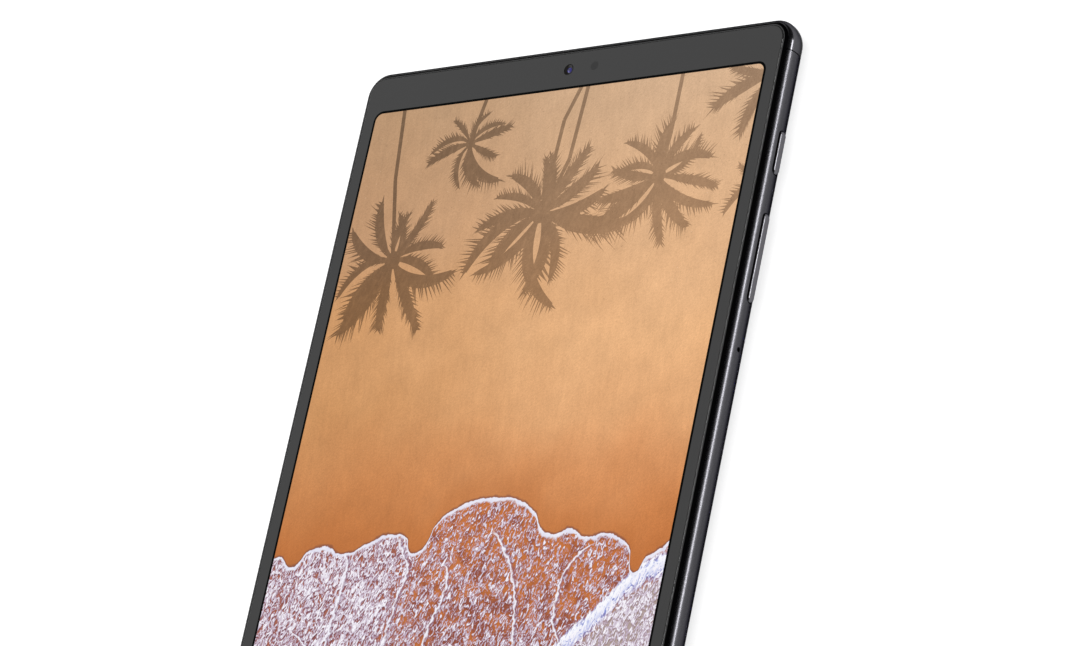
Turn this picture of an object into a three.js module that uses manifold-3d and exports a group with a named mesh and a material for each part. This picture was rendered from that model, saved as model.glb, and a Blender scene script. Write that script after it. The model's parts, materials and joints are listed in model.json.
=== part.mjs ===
/*
 * Tablet computer of the 8.7 inch class, lying on its back.
 * Millimetres. X runs to the right of the screen, Y to its top edge and Z out of the screen.
 * The origin is the centre of the flat back face.
 */
import * as THREE from 'three';
import { mergeVertices } from 'three/addons/utils/BufferGeometryUtils.js';
import Module from 'manifold-3d';

const wasm = await Module();
wasm.setup();

/* ---------- driving dimensions ---------- */

const body = { width: 124.7, length: 212.5, depth: 8.0, cornerRadius: 6.0 };
const backEdgeRadius = 4.9;
const frontEdgeRadius = 2.63;
const wall = { thickness: 1.35, floor: 1.0, cornerRadius: 3.65 };
const seam = { y: 98.0, gap: 0.25 };
const clearance = 0.1;

const glass = { inset: 2.1, bottom: 7.3, bevel: 0.2 };
const adhesive = { outerInset: 2.3, innerInset: 3.8, innerRadius: 2.0, low: 7.2, high: 7.28 };
const frame = {
  rimBottom: 7.34, lipGap: 0.04, skirtInset: 1.45, bottom: 5.5, ledgeTop: 7.18, glassGap: 0.1,
};
const pocket = { halfWidth: 58.45, bottom: -102.35, top: 97.2 };

/* the layers between the glass and the back, each with its low and high side */
const display = { halfWidth: 58.2, bottom: -101.2, top: 97.0, low: 6.52, high: 7.22 };
const films = { halfWidth: 57.6, margin: 0.5, low: 6.22, high: 6.42 };
const guide = { low: 5.85, high: 6.18, stripHalf: 52, stripWidth: 1.0 };
const tray = { floor: 5.8, low: 5.55, high: 6.48, wall: 0.35 };
const displayFlex = { left: -30, right: -8 };
const plate = { inset: 1.6, low: 5.0, high: 5.45 };
const ribbonLayer = { low: 4.46, high: 4.58 };
const board = { low: 3.6, high: 4.4 };
const battery = { width: 91.2, length: 99.2, y: -16, low: 1.45, high: 4.72, edge: 0.4 };
const tape = { near: 28, far: 40, bottom: -60, top: 28, low: 4.78, high: 4.93 };
const graphite = { halfWidth: 48, bottom: -66, top: 74, low: 1.05, high: 1.15 };

const keyLine = { z: 4.2, height: 2.2, proud: 0.4, gap: 0.12, inner: 60.6 };
const powerKey = { y: 74.2, length: 10.2 };
const volumeKey = { y: 49.2, length: 20.8 };
const keyFlange = { low: 60.0, high: 60.6, margin: 0.8, height: 2.5 };
const keyBay = { inner: 57.5, outer: 61.0, bottom: 36.0, top: 82.0, low: 2.5, high: 5.6 };
const domeSwitch = { low: 58.5, high: 59.4, half: 2, halfHeight: 1, plunger: 0.6, spread: 6 };
const switchStrip = { bottom: 39, top: 79 };
const microphone = { y: 27.6, z: 4.7, radius: 0.57, bay: 2.6 };

const cardSlot = {
  y: 69.0, z: 3.7, length: 15.0, height: 1.9, trayWidth: 12.0, reach: 42.0, headInner: 61.1,
};
const cardBay = { halfWidth: 8.5, low: 2.5, high: 4.9 };
const ejectHole = { radius: 0.4, fromEnd: 0.95 };
const usb = { z: 3.5, width: 9.2, height: 3.5, wall: 0.4, back: -97.7, mouth: -105.95, margin: 0.2 };
const jack = {
  x: 28.0, z: 3.3, bore: 1.8, hole: 1.95, blockHalf: 3, blockStart: 97.6, barrelStart: 92.8,
};
const grille = { z: 3.6, slots: 6, length: 3.0, height: 1.1, pitch: 4.4 };
const speaker = { width: 32, near: 92.3, far: 104.2, low: 1.25, high: 4.7 };
const speakerMesh = { halfWidth: 14, near: 104.4, far: 104.75, low: 2.8, high: 4.6 };
const topGrilleX = -30.0;
const bottomGrilleX = 28.0;
const rearLens = {
  x: 46.0, y: 86.5, outer: 5.0, inner: 3.9, flange: 5.8, flangeTop: 1.3, half: 4.3, bay: 4.6,
};
const frontLens = { x: 0.0, y: 99.9, side: 5.2, low: 3.9, shoulder: 6.4, barrel: 1.35 };
const lightWindow = { x: 7.5, y: 100.0, width: 2.8, length: 2.4, margin: 0.2 };
const underGlass = 7.15;    // how far the camera and the sensor reach up below the glass

const plateScrews = { x: 59.7, rows: [-85, -35, 15, 90] };
const plateScrewPlaces = plateScrews.rows.flatMap((y) => [[-plateScrews.x, y], [plateScrews.x, y]]);
const mainBoardScrews = [[-30, 45.5], [30, 45.5], [-34, 88.0], [36, 88.0]];
const subBoardScrews = [[-50, -90], [7.5, -90]];
const screw = { shank: 0.6, hole: 0.75, head: 1.15, headDepth: 0.5, socketDepth: 0.25, fit: 0.05 };
const screwTip = { plate: 6.8, board: 5.35 };
const boss = { radius: 1.7, gap: 0.05, overlap: 0.1 };

const cornerSteps = 3;      // steps in half of a quarter turn of an outline
const edgeSteps = 5;        // steps in the round of a long edge
const roundSides = 16;      // sides of a small round
const holeSides = 10;       // sides of a screw hole
const lensSides = 32;       // sides of the rear camera's rounds
const beyond = 20;          // how far a cutter reaches past what it cuts
const farOut = 150;         // a place outside the body on every side
const sideCut = { inner: 57, outer: 66 };      // reach of the cutters through a long side
const endCut = { inner: 102, outer: 108 };     // reach of the cutters through a short end

/* ---------- shapes ---------- */

const AXIS_X = new THREE.Vector3(1, 0, 0);
const AXIS_Y = new THREE.Vector3(0, 1, 0);
const AXIS_Z = new THREE.Vector3(0, 0, 1);

/** A rectangle with round corners, centred on the point given. */
function roundedRect(width, height, radius, centreX = 0, centreY = 0) {
  const shape = new THREE.Shape();
  const [right, top] = [width / 2 - radius, height / 2 - radius];
  const quarter = Math.PI / 2;
  [[right, top], [-right, top], [-right, -top], [right, -top]].forEach(([x, y], i) => {
    shape.absarc(centreX + x, centreY + y, radius, i * quarter, (i + 1) * quarter, false);
  });
  shape.closePath();
  return shape;
}

/** A closed outline through the points given. */
function polygon(points) {
  return new THREE.Shape(points.map(([x, y]) => new THREE.Vector2(x, y)));
}

/** A boolean-ready solid from a closed three.js geometry. */
function solidOf(geometry) {
  const bare = geometry.clone();
  bare.deleteAttribute('normal');
  bare.deleteAttribute('uv');
  const merged = mergeVertices(bare, 1e-4);
  return new wasm.Manifold(new wasm.Mesh({
    numProp: 3,
    vertProperties: Float32Array.from(merged.attributes.position.array),
    triVerts: Uint32Array.from(merged.index.array),
  }));
}

/** The outline extruded along Z from low to high, with both rims rounded by bevel. */
function slab(outline, low, high, bevel = 0, bevelSteps = 2) {
  const geometry = new THREE.ExtrudeGeometry(outline, {
    depth: high - low - 2 * bevel,
    curveSegments: cornerSteps,
    bevelEnabled: bevel > 0,
    bevelThickness: bevel,
    bevelSize: bevel,
    bevelSegments: bevelSteps,
  });
  geometry.translate(0, 0, low + bevel);
  return geometry;
}

/** An outline drawn in Y and Z, extruded along X. */
function alongX(outline, low, high, bevel = 0) {
  const turn = new THREE.Matrix4().makeBasis(AXIS_Y, AXIS_Z, AXIS_X);
  return slab(outline, low, high, bevel).applyMatrix4(turn);
}

/** An outline drawn in Z and X, extruded along Y. */
function alongY(outline, low, high, bevel = 0) {
  const turn = new THREE.Matrix4().makeBasis(AXIS_Z, AXIS_X, AXIS_Y);
  return slab(outline, low, high, bevel).applyMatrix4(turn);
}

function box(low, high) {
  const size = high.map((value, i) => value - low[i]);
  const geometry = new THREE.BoxGeometry(...size);
  geometry.translate(...low.map((value, i) => value + size[i] / 2));
  return geometry;
}

/** A round post along Z. */
function post(x, y, radius, low, high, sides = roundSides) {
  const geometry = new THREE.CylinderGeometry(radius, radius, high - low, sides);
  geometry.rotateX(Math.PI / 2);
  geometry.translate(x, y, (low + high) / 2);
  return geometry;
}

/** A round post along the X axis. */
function postAlongX(y, z, radius, low, high) {
  const geometry = new THREE.CylinderGeometry(radius, radius, high - low, roundSides);
  geometry.rotateZ(Math.PI / 2);
  geometry.translate((low + high) / 2, y, z);
  return geometry;
}

/** A round post along the Y axis. */
function postAlongY(x, z, radius, low, high) {
  const geometry = new THREE.CylinderGeometry(radius, radius, high - low, roundSides);
  geometry.translate(x, (low + high) / 2, z);
  return geometry;
}

const cut = (solid, ...geometries) => geometries.reduce((rest, g) => rest.subtract(solidOf(g)), solid);
const join = (solid, ...geometries) => geometries.reduce((rest, g) => rest.add(solidOf(g)), solid);
const bodyOutline = (inset, radius = body.cornerRadius - inset) =>
  roundedRect(body.width - 2 * inset, body.length - 2 * inset, radius);

/** The body's form, pulled in by inset all round, with its lower edge rounded and no upper end. */
function tub(inset, bottom, edgeRadius) {
  const outline = bodyOutline(inset + edgeRadius);
  return solidOf(slab(outline, bottom, body.depth + beyond, edgeRadius, edgeSteps));
}

/** The whole outside of the tablet. */
function outerForm() {
  const front = slab(bodyOutline(frontEdgeRadius), -beyond, body.depth, frontEdgeRadius, edgeSteps);
  return tub(0, 0, backEdgeRadius).intersect(solidOf(front));
}

/** The space inside the rear shell, pulled in by a margin. */
function cavity(margin = 0) {
  return tub(wall.thickness + margin, wall.floor + margin, wall.cornerRadius - margin);
}

/** A solid trimmed so that it stays clear of the rear shell's inside. */
const insideShell = (solid) => solid.intersect(cavity(clearance));

/* ---------- finishes and the scene graph ---------- */

const finish = (color, roughness, metalness) =>
  new THREE.MeshStandardMaterial({ color, roughness, metalness });
const finishes = {
  glass: finish(0x3c3c3e, 0.12, 0.0),
  blackPlastic: finish(0x0c0c0d, 0.35, 0.0),
  shellMetal: finish(0x5a585d, 0.38, 0.9),
  capPlastic: finish(0x5c5a5f, 0.3, 0.2),
  keyMetal: finish(0x68666b, 0.32, 0.9),
  lens: finish(0x101624, 0.05, 0.0),
  steel: finish(0xb4b4b6, 0.3, 1.0),
  sheetMetal: finish(0x9a9b9d, 0.45, 0.9),
  board: finish(0x15452c, 0.5, 0.0),
  polyimide: finish(0xb0701c, 0.45, 0.0),
  battery: finish(0x25262a, 0.55, 0.0),
  film: finish(0xdadde0, 0.3, 0.0),
  graphite: finish(0x2d2e31, 0.6, 0.3),
  rubber: finish(0x17171a, 0.9, 0.0),
  moulding: finish(0x1d1d1f, 0.6, 0.0),
  picture: finish(0xc98a4a, 0.25, 0.0),
};

const tablet = new THREE.Group();

/** Adds one sub-part, from a three.js geometry or from a boolean result. */
function addPart(name, shape, material) {
  let geometry = shape;
  if (!shape.isBufferGeometry) {
    const { vertProperties, triVerts } = shape.getMesh();
    geometry = new THREE.BufferGeometry();
    geometry.setAttribute('position', new THREE.BufferAttribute(Float32Array.from(vertProperties), 3));
    geometry.setIndex(new THREE.BufferAttribute(Uint32Array.from(triVerts), 1));
    geometry.computeVertexNormals();
  }
  const mesh = new THREE.Mesh(geometry, material);
  mesh.name = name;
  tablet.add(mesh);
}

/* ---------- the shell: rear cover and antenna cap ---------- */

const stadium = (length, height, x, y) => roundedRect(length, height, height / 2, x, y);

/** Cutters for the row of grille slots in one end wall. */
function grilleSlots(centreX, low, high) {
  return Array.from({ length: grille.slots }, (_, i) => {
    const x = centreX + (i - (grille.slots - 1) / 2) * grille.pitch;
    return alongY(roundedRect(grille.height, grille.length, grille.height / 2, grille.z, x), low, high);
  });
}

function keyCutter(key) {
  const margin = 2 * keyLine.gap;
  const outline = stadium(key.length + margin, keyLine.height + margin, key.y, keyLine.z);
  return alongX(outline, sideCut.inner, sideCut.outer);
}

function addShell() {
  const lid = box([-farOut, -farOut, frame.rimBottom - frame.lipGap], [farOut, farOut, beyond]);
  const shell = cut(outerForm().subtract(cavity()), lid);
  const seamLow = seam.y - seam.gap / 2;
  const seamHigh = seam.y + seam.gap / 2;

  const usbHeight = usb.height + usb.margin;
  const usbOutline = roundedRect(usbHeight, usb.width + usb.margin, usbHeight / 2, usb.z, 0);
  const slotLength = cardSlot.length + 2 * keyLine.gap;
  const slotHeight = cardSlot.height + 2 * keyLine.gap;
  const cover = cut(
    shell,
    box([-farOut, seamLow, -beyond], [farOut, farOut, beyond]),
    keyCutter(powerKey),
    keyCutter(volumeKey),
    box([keyBay.inner, keyBay.bottom, keyBay.low], [keyBay.outer, keyBay.top, keyBay.high]),
    alongX(stadium(slotLength, slotHeight, cardSlot.y, cardSlot.z), -sideCut.outer, -sideCut.inner),
    box([-keyBay.outer, cardSlot.y - cardBay.halfWidth, cardBay.low],
      [-keyBay.inner, cardSlot.y + cardBay.halfWidth, cardBay.high]),
    postAlongX(microphone.y, microphone.z, microphone.radius, sideCut.inner, sideCut.outer),
    alongY(usbOutline, -endCut.outer, -endCut.inner),
    post(rearLens.x, rearLens.y, rearLens.outer + clearance, -beyond, 2 * wall.floor, lensSides),
    ...grilleSlots(bottomGrilleX, -endCut.outer, -endCut.inner),
  );
  addPart('rear_cover', cover, finishes.shellMetal);

  const tongues = [[-56, -48], [-11, 21], [36, 54]];
  const tongue = { bottom: 95, top: 100, root: 98.4, low: wall.floor + 0.05, high: 1.6, rootLow: 0.9 };
  const cap = join(
    cut(
      shell,
      box([-farOut, -farOut, -beyond], [farOut, seamHigh, beyond]),
      postAlongY(jack.x, jack.z, jack.hole, endCut.inner, endCut.outer),
      ...grilleSlots(topGrilleX, endCut.inner, endCut.outer),
    ),
    ...tongues.flatMap(([left, right]) => [
      box([left, tongue.bottom, tongue.low], [right, tongue.top, tongue.high]),
      box([left, tongue.root, tongue.rootLow], [right, tongue.top, tongue.high]),
    ]),
  );
  addPart('antenna_cap', cap, finishes.capPlastic);
}

/* ---------- front frame and glass ---------- */

function addFrontFrame() {
  const rim = outerForm().intersect(
    solidOf(box([-farOut, -farOut, frame.rimBottom], [farOut, farOut, farOut])));
  const skirt = slab(bodyOutline(frame.skirtInset), frame.bottom, frame.rimBottom + frame.lipGap / 2);
  const screwHoles = plateScrewPlaces.map(([x, y]) =>
    post(x, y, screw.hole, 0, screwTip.plate + clearance, holeSides));
  const lensHalf = frontLens.side / 2;
  const solid = cut(
    join(rim, skirt),
    slab(bodyOutline(glass.inset - frame.glassGap), frame.ledgeTop, beyond),
    box([-pocket.halfWidth, pocket.bottom, 0], [pocket.halfWidth, pocket.top, beyond]),
    box([frontLens.x - lensHalf, frontLens.y - lensHalf, 0],
      [frontLens.x + lensHalf, frontLens.y + lensHalf, beyond]),
    box([lightWindow.x - lightWindow.width / 2, lightWindow.y - lightWindow.length / 2, 0],
      [lightWindow.x + lightWindow.width / 2, lightWindow.y + lightWindow.length / 2, beyond]),
    ...screwHoles,
  );
  addPart('front_frame', solid, finishes.blackPlastic);
}

function addGlass() {
  const outline = bodyOutline(glass.inset + glass.bevel);
  addPart('cover_glass', slab(outline, glass.bottom, body.depth, glass.bevel), finishes.glass);

  const outer = slab(bodyOutline(adhesive.outerInset), adhesive.low, adhesive.high);
  const inner = slab(bodyOutline(adhesive.innerInset, adhesive.innerRadius), 0, beyond);
  addPart('glass_adhesive', cut(solidOf(outer), inner), finishes.rubber);
}

/* ---------- display stack ---------- */

function addDisplay() {
  const { halfWidth, bottom, top, low, high } = display;
  addPart('display_panel', box([-halfWidth, bottom, low], [halfWidth, top, high]), finishes.picture);
  const filmTop = top - films.margin;
  const stripTop = bottom + films.margin + guide.stripWidth;
  addPart('optical_films',
    box([-films.halfWidth, bottom + films.margin, films.low], [films.halfWidth, filmTop, films.high]),
    finishes.film);
  addPart('light_guide',
    box([-films.halfWidth, stripTop + 2 * clearance, guide.low], [films.halfWidth, filmTop, guide.high]),
    finishes.film);
  addPart('led_strip',
    box([-guide.stripHalf, bottom + films.margin, guide.low], [guide.stripHalf, stripTop, guide.high]),
    finishes.board);

  const trayBottom = bottom - 3 * clearance;
  const pan = cut(
    solidOf(box([-halfWidth, trayBottom, tray.low], [halfWidth, top, tray.high])),
    box([-halfWidth + tray.wall, trayBottom + tray.wall, tray.floor],
      [halfWidth - tray.wall, top - tray.wall, beyond]),
  );
  addPart('backlight_tray', pan, finishes.sheetMetal);

  const ribbon = polygon([
    [-101.27, 6.95], [-101.8, 6.95], [-101.8, 4.6], [-94, 4.6],
    [-94, 4.75], [-101.65, 4.75], [-101.65, 6.8], [-101.27, 6.8],
  ]);
  addPart('display_flex', alongX(ribbon, displayFlex.left, displayFlex.right), finishes.polyimide);
}

/** A square opening right through the layers, round a point. */
const squareOpening = ({ x, y }, half) => box([x - half, y - half, 0], [x + half, y + half, beyond]);

function addMidPlate() {
  const boardScrews = [...mainBoardScrews, ...subBoardScrews];
  const bosses = boardScrews.map(([x, y]) =>
    post(x, y, boss.radius, board.high + boss.gap, plate.low + boss.overlap));
  const holes = [...boardScrews, ...plateScrewPlaces].map(([x, y]) =>
    post(x, y, screw.hole, 0, beyond, holeSides));
  const usbHalf = usb.width / 2 + 0.6;
  const jackHalf = jack.blockHalf + 0.6;
  const solid = cut(
    join(solidOf(slab(bodyOutline(plate.inset), plate.low, plate.high)), ...bosses),
    box([keyBay.inner, keyBay.bottom, 0], [farOut, keyBay.top, beyond]),
    box([keyBay.inner, microphone.y - microphone.bay, 0], [farOut, microphone.y + microphone.bay, beyond]),
    squareOpening(rearLens, rearLens.bay),
    squareOpening(frontLens, frontLens.side / 2),
    box([jack.x - jackHalf, jack.barrelStart - 0.4, 0], [jack.x + jackHalf, farOut, beyond]),
    box([-usbHalf, -farOut, 0], [usbHalf, usb.back + 0.6, beyond]),
    box([displayFlex.left - 1, display.bottom - 1, 0],
      [displayFlex.right + 1, display.bottom - clearance, beyond]),
    ...holes,
  );
  addPart('mid_plate', solid, finishes.sheetMetal);
}

/* ---------- keys, switches and the side microphone ---------- */

/** A key: a cap that stands proud of the side wall and a wider flange behind the wall. */
function keySolid(key) {
  const outer = body.width / 2 + keyLine.proud;
  const cap = solidOf(alongX(
    stadium(key.length - 0.4, keyLine.height - 0.4, key.y, keyLine.z), keyLine.inner - 0.4, outer, 0.2));
  const flange = roundedRect(
    key.length + 2 * keyFlange.margin, keyFlange.height, 0.4, key.y, keyLine.z);
  return join(cap, alongX(flange, keyFlange.low, keyFlange.high));
}

/** A dome switch with its plunger, facing a key from inside. */
function switchSolid(y, plungerReach) {
  const { low, high, half, halfHeight, plunger } = domeSwitch;
  const base = box([low, y - half, keyLine.z - halfHeight], [high, y + half, keyLine.z + halfHeight]);
  return join(solidOf(base), postAlongX(y, keyLine.z, plunger, high - 2 * clearance, plungerReach));
}

function addKeys() {
  addPart('power_key', keySolid(powerKey), finishes.keyMetal);
  addPart('volume_key', keySolid(volumeKey), finishes.keyMetal);

  const volumeReach = keyFlange.low - 2 * clearance;
  addPart('power_switch', switchSolid(powerKey.y, keyFlange.low - 3 * clearance), finishes.steel);
  addPart('volume_up_switch', switchSolid(volumeKey.y + domeSwitch.spread, volumeReach), finishes.steel);
  addPart('volume_down_switch', switchSolid(volumeKey.y - domeSwitch.spread, volumeReach), finishes.steel);

  const { bottom, top } = switchStrip;
  const bracket = polygon([
    [2.9, 57.95], [4.65, 57.95], [4.65, 56.9], [4.95, 56.9], [4.95, 58.25], [2.9, 58.25],
  ]);
  addPart('key_bracket', alongY(bracket, bottom, top), finishes.sheetMetal);
  addPart('side_key_flex', box([58.3, bottom, 3.2], [58.44, top, 4.9]), finishes.polyimide);

  const { y, z, radius } = microphone;
  const capsule = { low: 58, high: 59.9, half: 1.8, bottom: 3.9, top: 5.4 };
  addPart('side_microphone',
    box([capsule.low, y - capsule.half, capsule.bottom], [capsule.high, y + capsule.half, capsule.top]),
    finishes.steel);
  const seal = alongX(roundedRect(3, 1.5, 0.4, y, 4.65), 59.95, 60.9);
  const duct = postAlongX(y, z, radius - clearance, sideCut.inner, sideCut.outer);
  addPart('microphone_gasket', cut(solidOf(seal), duct), finishes.rubber);
}

/* ---------- ports and the card tray ---------- */

function addCardTray() {
  const { y, z, length, height, trayWidth, reach, headInner } = cardSlot;
  const half = trayWidth / 2;
  const thin = 0.4;
  const head = outerForm().intersect(
    solidOf(alongX(stadium(length, height, y, z), -sideCut.outer, -headInner)));
  const holder = box([-headInner - 0.3, y - half, z - thin], [-reach, y + half, z + thin]);
  const solid = cut(
    join(head, holder),
    box([-60.2, y - half + 0.8, z - 0.15], [-reach - 4, y + half - 0.8, z + 2]),
    box([-57.2, y - half + 2.4, z - 2], [-reach - 6.5, y + half - 2.4, z + 2]),
    postAlongX(y + length / 2 - ejectHole.fromEnd, z, ejectHole.radius, -sideCut.outer, -sideCut.inner),
  );
  addPart('card_tray', solid, finishes.keyMetal);

  const inner = half + 0.15;
  const socket = cut(
    solidOf(box([-57, y - 7, 2.9], [-40.6, y + 7, 4.5])),
    box([-farOut, y - inner, 3.15], [-reach + 0.4, y + inner, 4.25]),
  );
  addPart('tray_socket', socket, finishes.steel);
}

function addUsb() {
  const { width, height, z, back, mouth } = usb;
  const ring = solidOf(alongY(roundedRect(height, width, height / 2, z, 0), mouth, back));
  const innerHeight = height - 2 * usb.wall;
  const hollow = roundedRect(innerHeight, width - 2 * usb.wall, innerHeight / 2, z, 0);
  const hollowed = cut(ring, alongY(hollow, mouth - 1, back - 0.6));
  const tongue = box([-3.3, mouth + 1.2, z - 0.35], [3.3, back - 0.3, z + 0.35]);
  const recess = tub(0.15, 0.15, backEdgeRadius - 0.15);
  addPart('usb_c_receptacle', join(hollowed, tongue).intersect(recess), finishes.steel);
}

function addJack() {
  const { x, z, bore, blockHalf, blockStart, barrelStart } = jack;
  const block = box([x - blockHalf, blockStart, wall.floor + 0.05], [x + blockHalf, 104.8, z + 2.15]);
  const housing = join(solidOf(block), postAlongY(x, z, bore + 0.25, barrelStart, blockStart + 1));
  const bored = cut(housing, postAlongY(x, z, bore, barrelStart + 0.4, farOut));
  addPart('headphone_jack', insideShell(bored), finishes.moulding);
}

/** A speaker box and the mesh between it and its grille slots, at the end that side points to. */
function addSpeaker(name, centreX, side) {
  const ends = (near, far) => (side > 0 ? [near, far] : [-far, -near]);
  const [low, high] = ends(speaker.near, speaker.far);
  const outline = roundedRect(speaker.width, high - low, 1.5, centreX, (low + high) / 2);
  const housing = slab(outline, speaker.low, speaker.high);
  addPart(`${name}_speaker`, insideShell(solidOf(housing)), finishes.moulding);
  const [meshLow, meshHigh] = ends(speakerMesh.near, speakerMesh.far);
  const screen = box([centreX - speakerMesh.halfWidth, meshLow, speakerMesh.low],
    [centreX + speakerMesh.halfWidth, meshHigh, speakerMesh.high]);
  addPart(`${name}_speaker_mesh`, insideShell(solidOf(screen)), finishes.steel);
}

/* ---------- cameras and the light sensor ---------- */

function addCameras() {
  const { x, y, outer, inner, flange, flangeTop, half } = rearLens;
  const step = wall.floor + 0.05;
  const edge = 0.2;
  const ring = new THREE.LatheGeometry([
    [inner, edge], [inner + edge, 0], [outer - edge, 0], [outer, edge], [outer, step],
    [flange, step], [flange, flangeTop], [inner, flangeTop], [inner, edge],
  ].map(([radius, z]) => new THREE.Vector2(radius, z)), lensSides);
  ring.rotateX(Math.PI / 2);
  ring.translate(x, y, 0);
  addPart('rear_camera_ring', ring, finishes.keyMetal);
  addPart('rear_camera_window', post(x, y, inner - clearance, 0.3, wall.floor, lensSides), finishes.lens);

  const rear = join(
    solidOf(box([x - half, y - half, 1.6], [x + half, y + half, 5.3])), post(x, y, 3.2, 1.1, 1.8));
  addPart('rear_camera', rear, finishes.moulding);

  const frontHalf = frontLens.side / 2 - 0.2;
  const { low, shoulder, barrel } = frontLens;
  const front = join(
    solidOf(box([frontLens.x - frontHalf, frontLens.y - frontHalf, low],
      [frontLens.x + frontHalf, frontLens.y + frontHalf, shoulder])),
    post(frontLens.x, frontLens.y, barrel, shoulder - 0.2, underGlass));
  addPart('front_camera', front, finishes.lens);

  const halfWidth = lightWindow.width / 2 - lightWindow.margin;
  const halfLength = lightWindow.length / 2 - lightWindow.margin;
  addPart('light_sensor',
    box([lightWindow.x - halfWidth, lightWindow.y - halfLength, shoulder],
      [lightWindow.x + halfWidth, lightWindow.y + halfLength, underGlass]),
    finishes.moulding);
}

/* ---------- boards, battery and what joins them ---------- */

/** A shield can, open towards the board behind it. */
function shieldCan(low, high) {
  const skin = 0.2;
  const space = box([low[0] + skin, low[1] + skin, low[2] + skin], [high[0] - skin, high[1] - skin, beyond]);
  return cut(solidOf(box(low, high)), space);
}

function addBoards() {
  const holes = (places) => places.map(([x, y]) => post(x, y, screw.hole, 0, beyond, holeSides));
  const mainOutline = roundedRect(113, 49, 2, 0, 66.5);
  const mainBoard = cut(
    solidOf(slab(mainOutline, board.low, board.high)),
    box([-60, cardSlot.y - 7.5, 0], [-40, cardSlot.y + 7.5, beyond]),
    box([rearLens.x - 5, rearLens.y - 5, 0], [rearLens.x + 5, 95, beyond]),
    ...holes(mainBoardScrews),
  );
  addPart('main_board', mainBoard, finishes.board);
  const canTop = board.low - 0.05;
  addPart('processor_shield', shieldCan([-24, 50, 1.9], [8, 78, canTop]), finishes.sheetMetal);
  addPart('radio_shield', shieldCan([14, 50, 2.2], [38, 74, canTop]), finishes.sheetMetal);

  const usbBay = usb.width / 2 + 0.3;
  const subOutline = roundedRect(65, 16.4, 1.5, -21.5, -94.4);
  const subBoard = cut(
    solidOf(slab(subOutline, board.low, board.high)),
    box([-usbBay, -farOut, 0], [usbBay, usb.back + 0.3, beyond]),
    ...holes(subBoardScrews),
  );
  addPart('sub_board', subBoard, finishes.board);
  const { low, high } = ribbonLayer;
  addPart('board_link_flex', box([-53, -87.5, low], [-48.5, 47, high]), finishes.polyimide);
  addPart('battery_lead', box([-6, 34.3, low], [6, 47, high]), finishes.polyimide);
}

function addBattery() {
  const { width, length, y, low, high, edge } = battery;
  addPart('battery', slab(roundedRect(width, length, 2, 0, y), low, high, edge), finishes.battery);
  const tapeStrip = (left, right) => box([left, tape.bottom, tape.low], [right, tape.top, tape.high]);
  addPart('battery_tape_left', tapeStrip(-tape.far, -tape.near), finishes.rubber);
  addPart('battery_tape_right', tapeStrip(tape.near, tape.far), finishes.rubber);
  addPart('graphite_sheet',
    box([-graphite.halfWidth, graphite.bottom, graphite.low], [graphite.halfWidth, graphite.top, graphite.high]),
    finishes.graphite);
  addPart('wifi_antenna', box([37, 100.6, 1.06], [53, 101.6, 1.22]), finishes.polyimide);
}

/** A pan-head screw driven from the back of the tablet towards its front. */
function screwSolid(x, y, headLow, tip) {
  const seat = headLow + screw.headDepth;
  const solid = join(
    solidOf(post(x, y, screw.head, headLow, seat, 12)),
    post(x, y, screw.shank, seat - 0.1, tip, holeSides));
  return cut(solid, post(x, y, screw.shank * 0.7, headLow - 1, headLow + screw.socketDepth, 6));
}

/** A numbered set of screws whose heads lie against a face that looks to the back. */
function addScrewSet(name, places, seat, tip) {
  const headLow = seat - screw.headDepth - screw.fit;
  places.forEach(([x, y], i) => {
    addPart(`${name}_${i + 1}`, screwSolid(x, y, headLow, tip), finishes.steel);
  });
}

function addScrews() {
  addScrewSet('plate_screw', plateScrewPlaces, plate.low, screwTip.plate);
  addScrewSet('board_screw', mainBoardScrews, board.low, screwTip.board);
  addScrewSet('sub_board_screw', subBoardScrews, board.low, screwTip.board);
}

addShell();
addFrontFrame();
addGlass();
addDisplay();
addMidPlate();
addKeys();
addCardTray();
addUsb();
addJack();
addSpeaker('top', topGrilleX, 1);
addSpeaker('bottom', bottomGrilleX, -1);
addCameras();
addBoards();
addBattery();
addScrews();

export default tablet;
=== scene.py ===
"""Looks of an 8.7 inch tablet computer that lies on its back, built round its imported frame.

Metres. X runs to the right of the screen, Y to its top edge and Z out of the screen.
"""

import json
import math
import random

import bmesh
import bpy
from mathutils import Matrix, Vector
from mathutils.geometry import delaunay_2d_cdt


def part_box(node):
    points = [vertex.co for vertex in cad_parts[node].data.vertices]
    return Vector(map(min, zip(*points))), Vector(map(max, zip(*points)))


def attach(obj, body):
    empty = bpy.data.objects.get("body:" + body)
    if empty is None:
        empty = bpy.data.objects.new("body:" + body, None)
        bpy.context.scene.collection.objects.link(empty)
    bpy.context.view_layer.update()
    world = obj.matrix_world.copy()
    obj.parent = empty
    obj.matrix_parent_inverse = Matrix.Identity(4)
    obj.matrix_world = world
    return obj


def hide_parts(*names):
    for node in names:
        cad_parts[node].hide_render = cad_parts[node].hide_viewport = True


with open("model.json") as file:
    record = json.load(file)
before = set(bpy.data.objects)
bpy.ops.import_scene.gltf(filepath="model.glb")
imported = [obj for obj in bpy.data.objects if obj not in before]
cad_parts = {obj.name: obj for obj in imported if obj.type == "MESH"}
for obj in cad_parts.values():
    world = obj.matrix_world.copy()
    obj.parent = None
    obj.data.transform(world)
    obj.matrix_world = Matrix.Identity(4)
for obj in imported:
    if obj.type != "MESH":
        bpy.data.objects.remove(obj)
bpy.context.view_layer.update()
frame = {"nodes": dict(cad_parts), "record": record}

MM = 0.001
QUARTER = math.pi / 2
MERGE = 1e-8                    # points nearer than this become one
CAD_MERGE = 1e-6                # the same for the CAD's own meshes
FILL_NEAR = 1e-9                # the same where an outline is filled
FILL_INSIDE = 1                 # keeps only the triangles within the outlines
LEVEL = 0.999                   # least height of the normal of a face that counts as level
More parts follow.
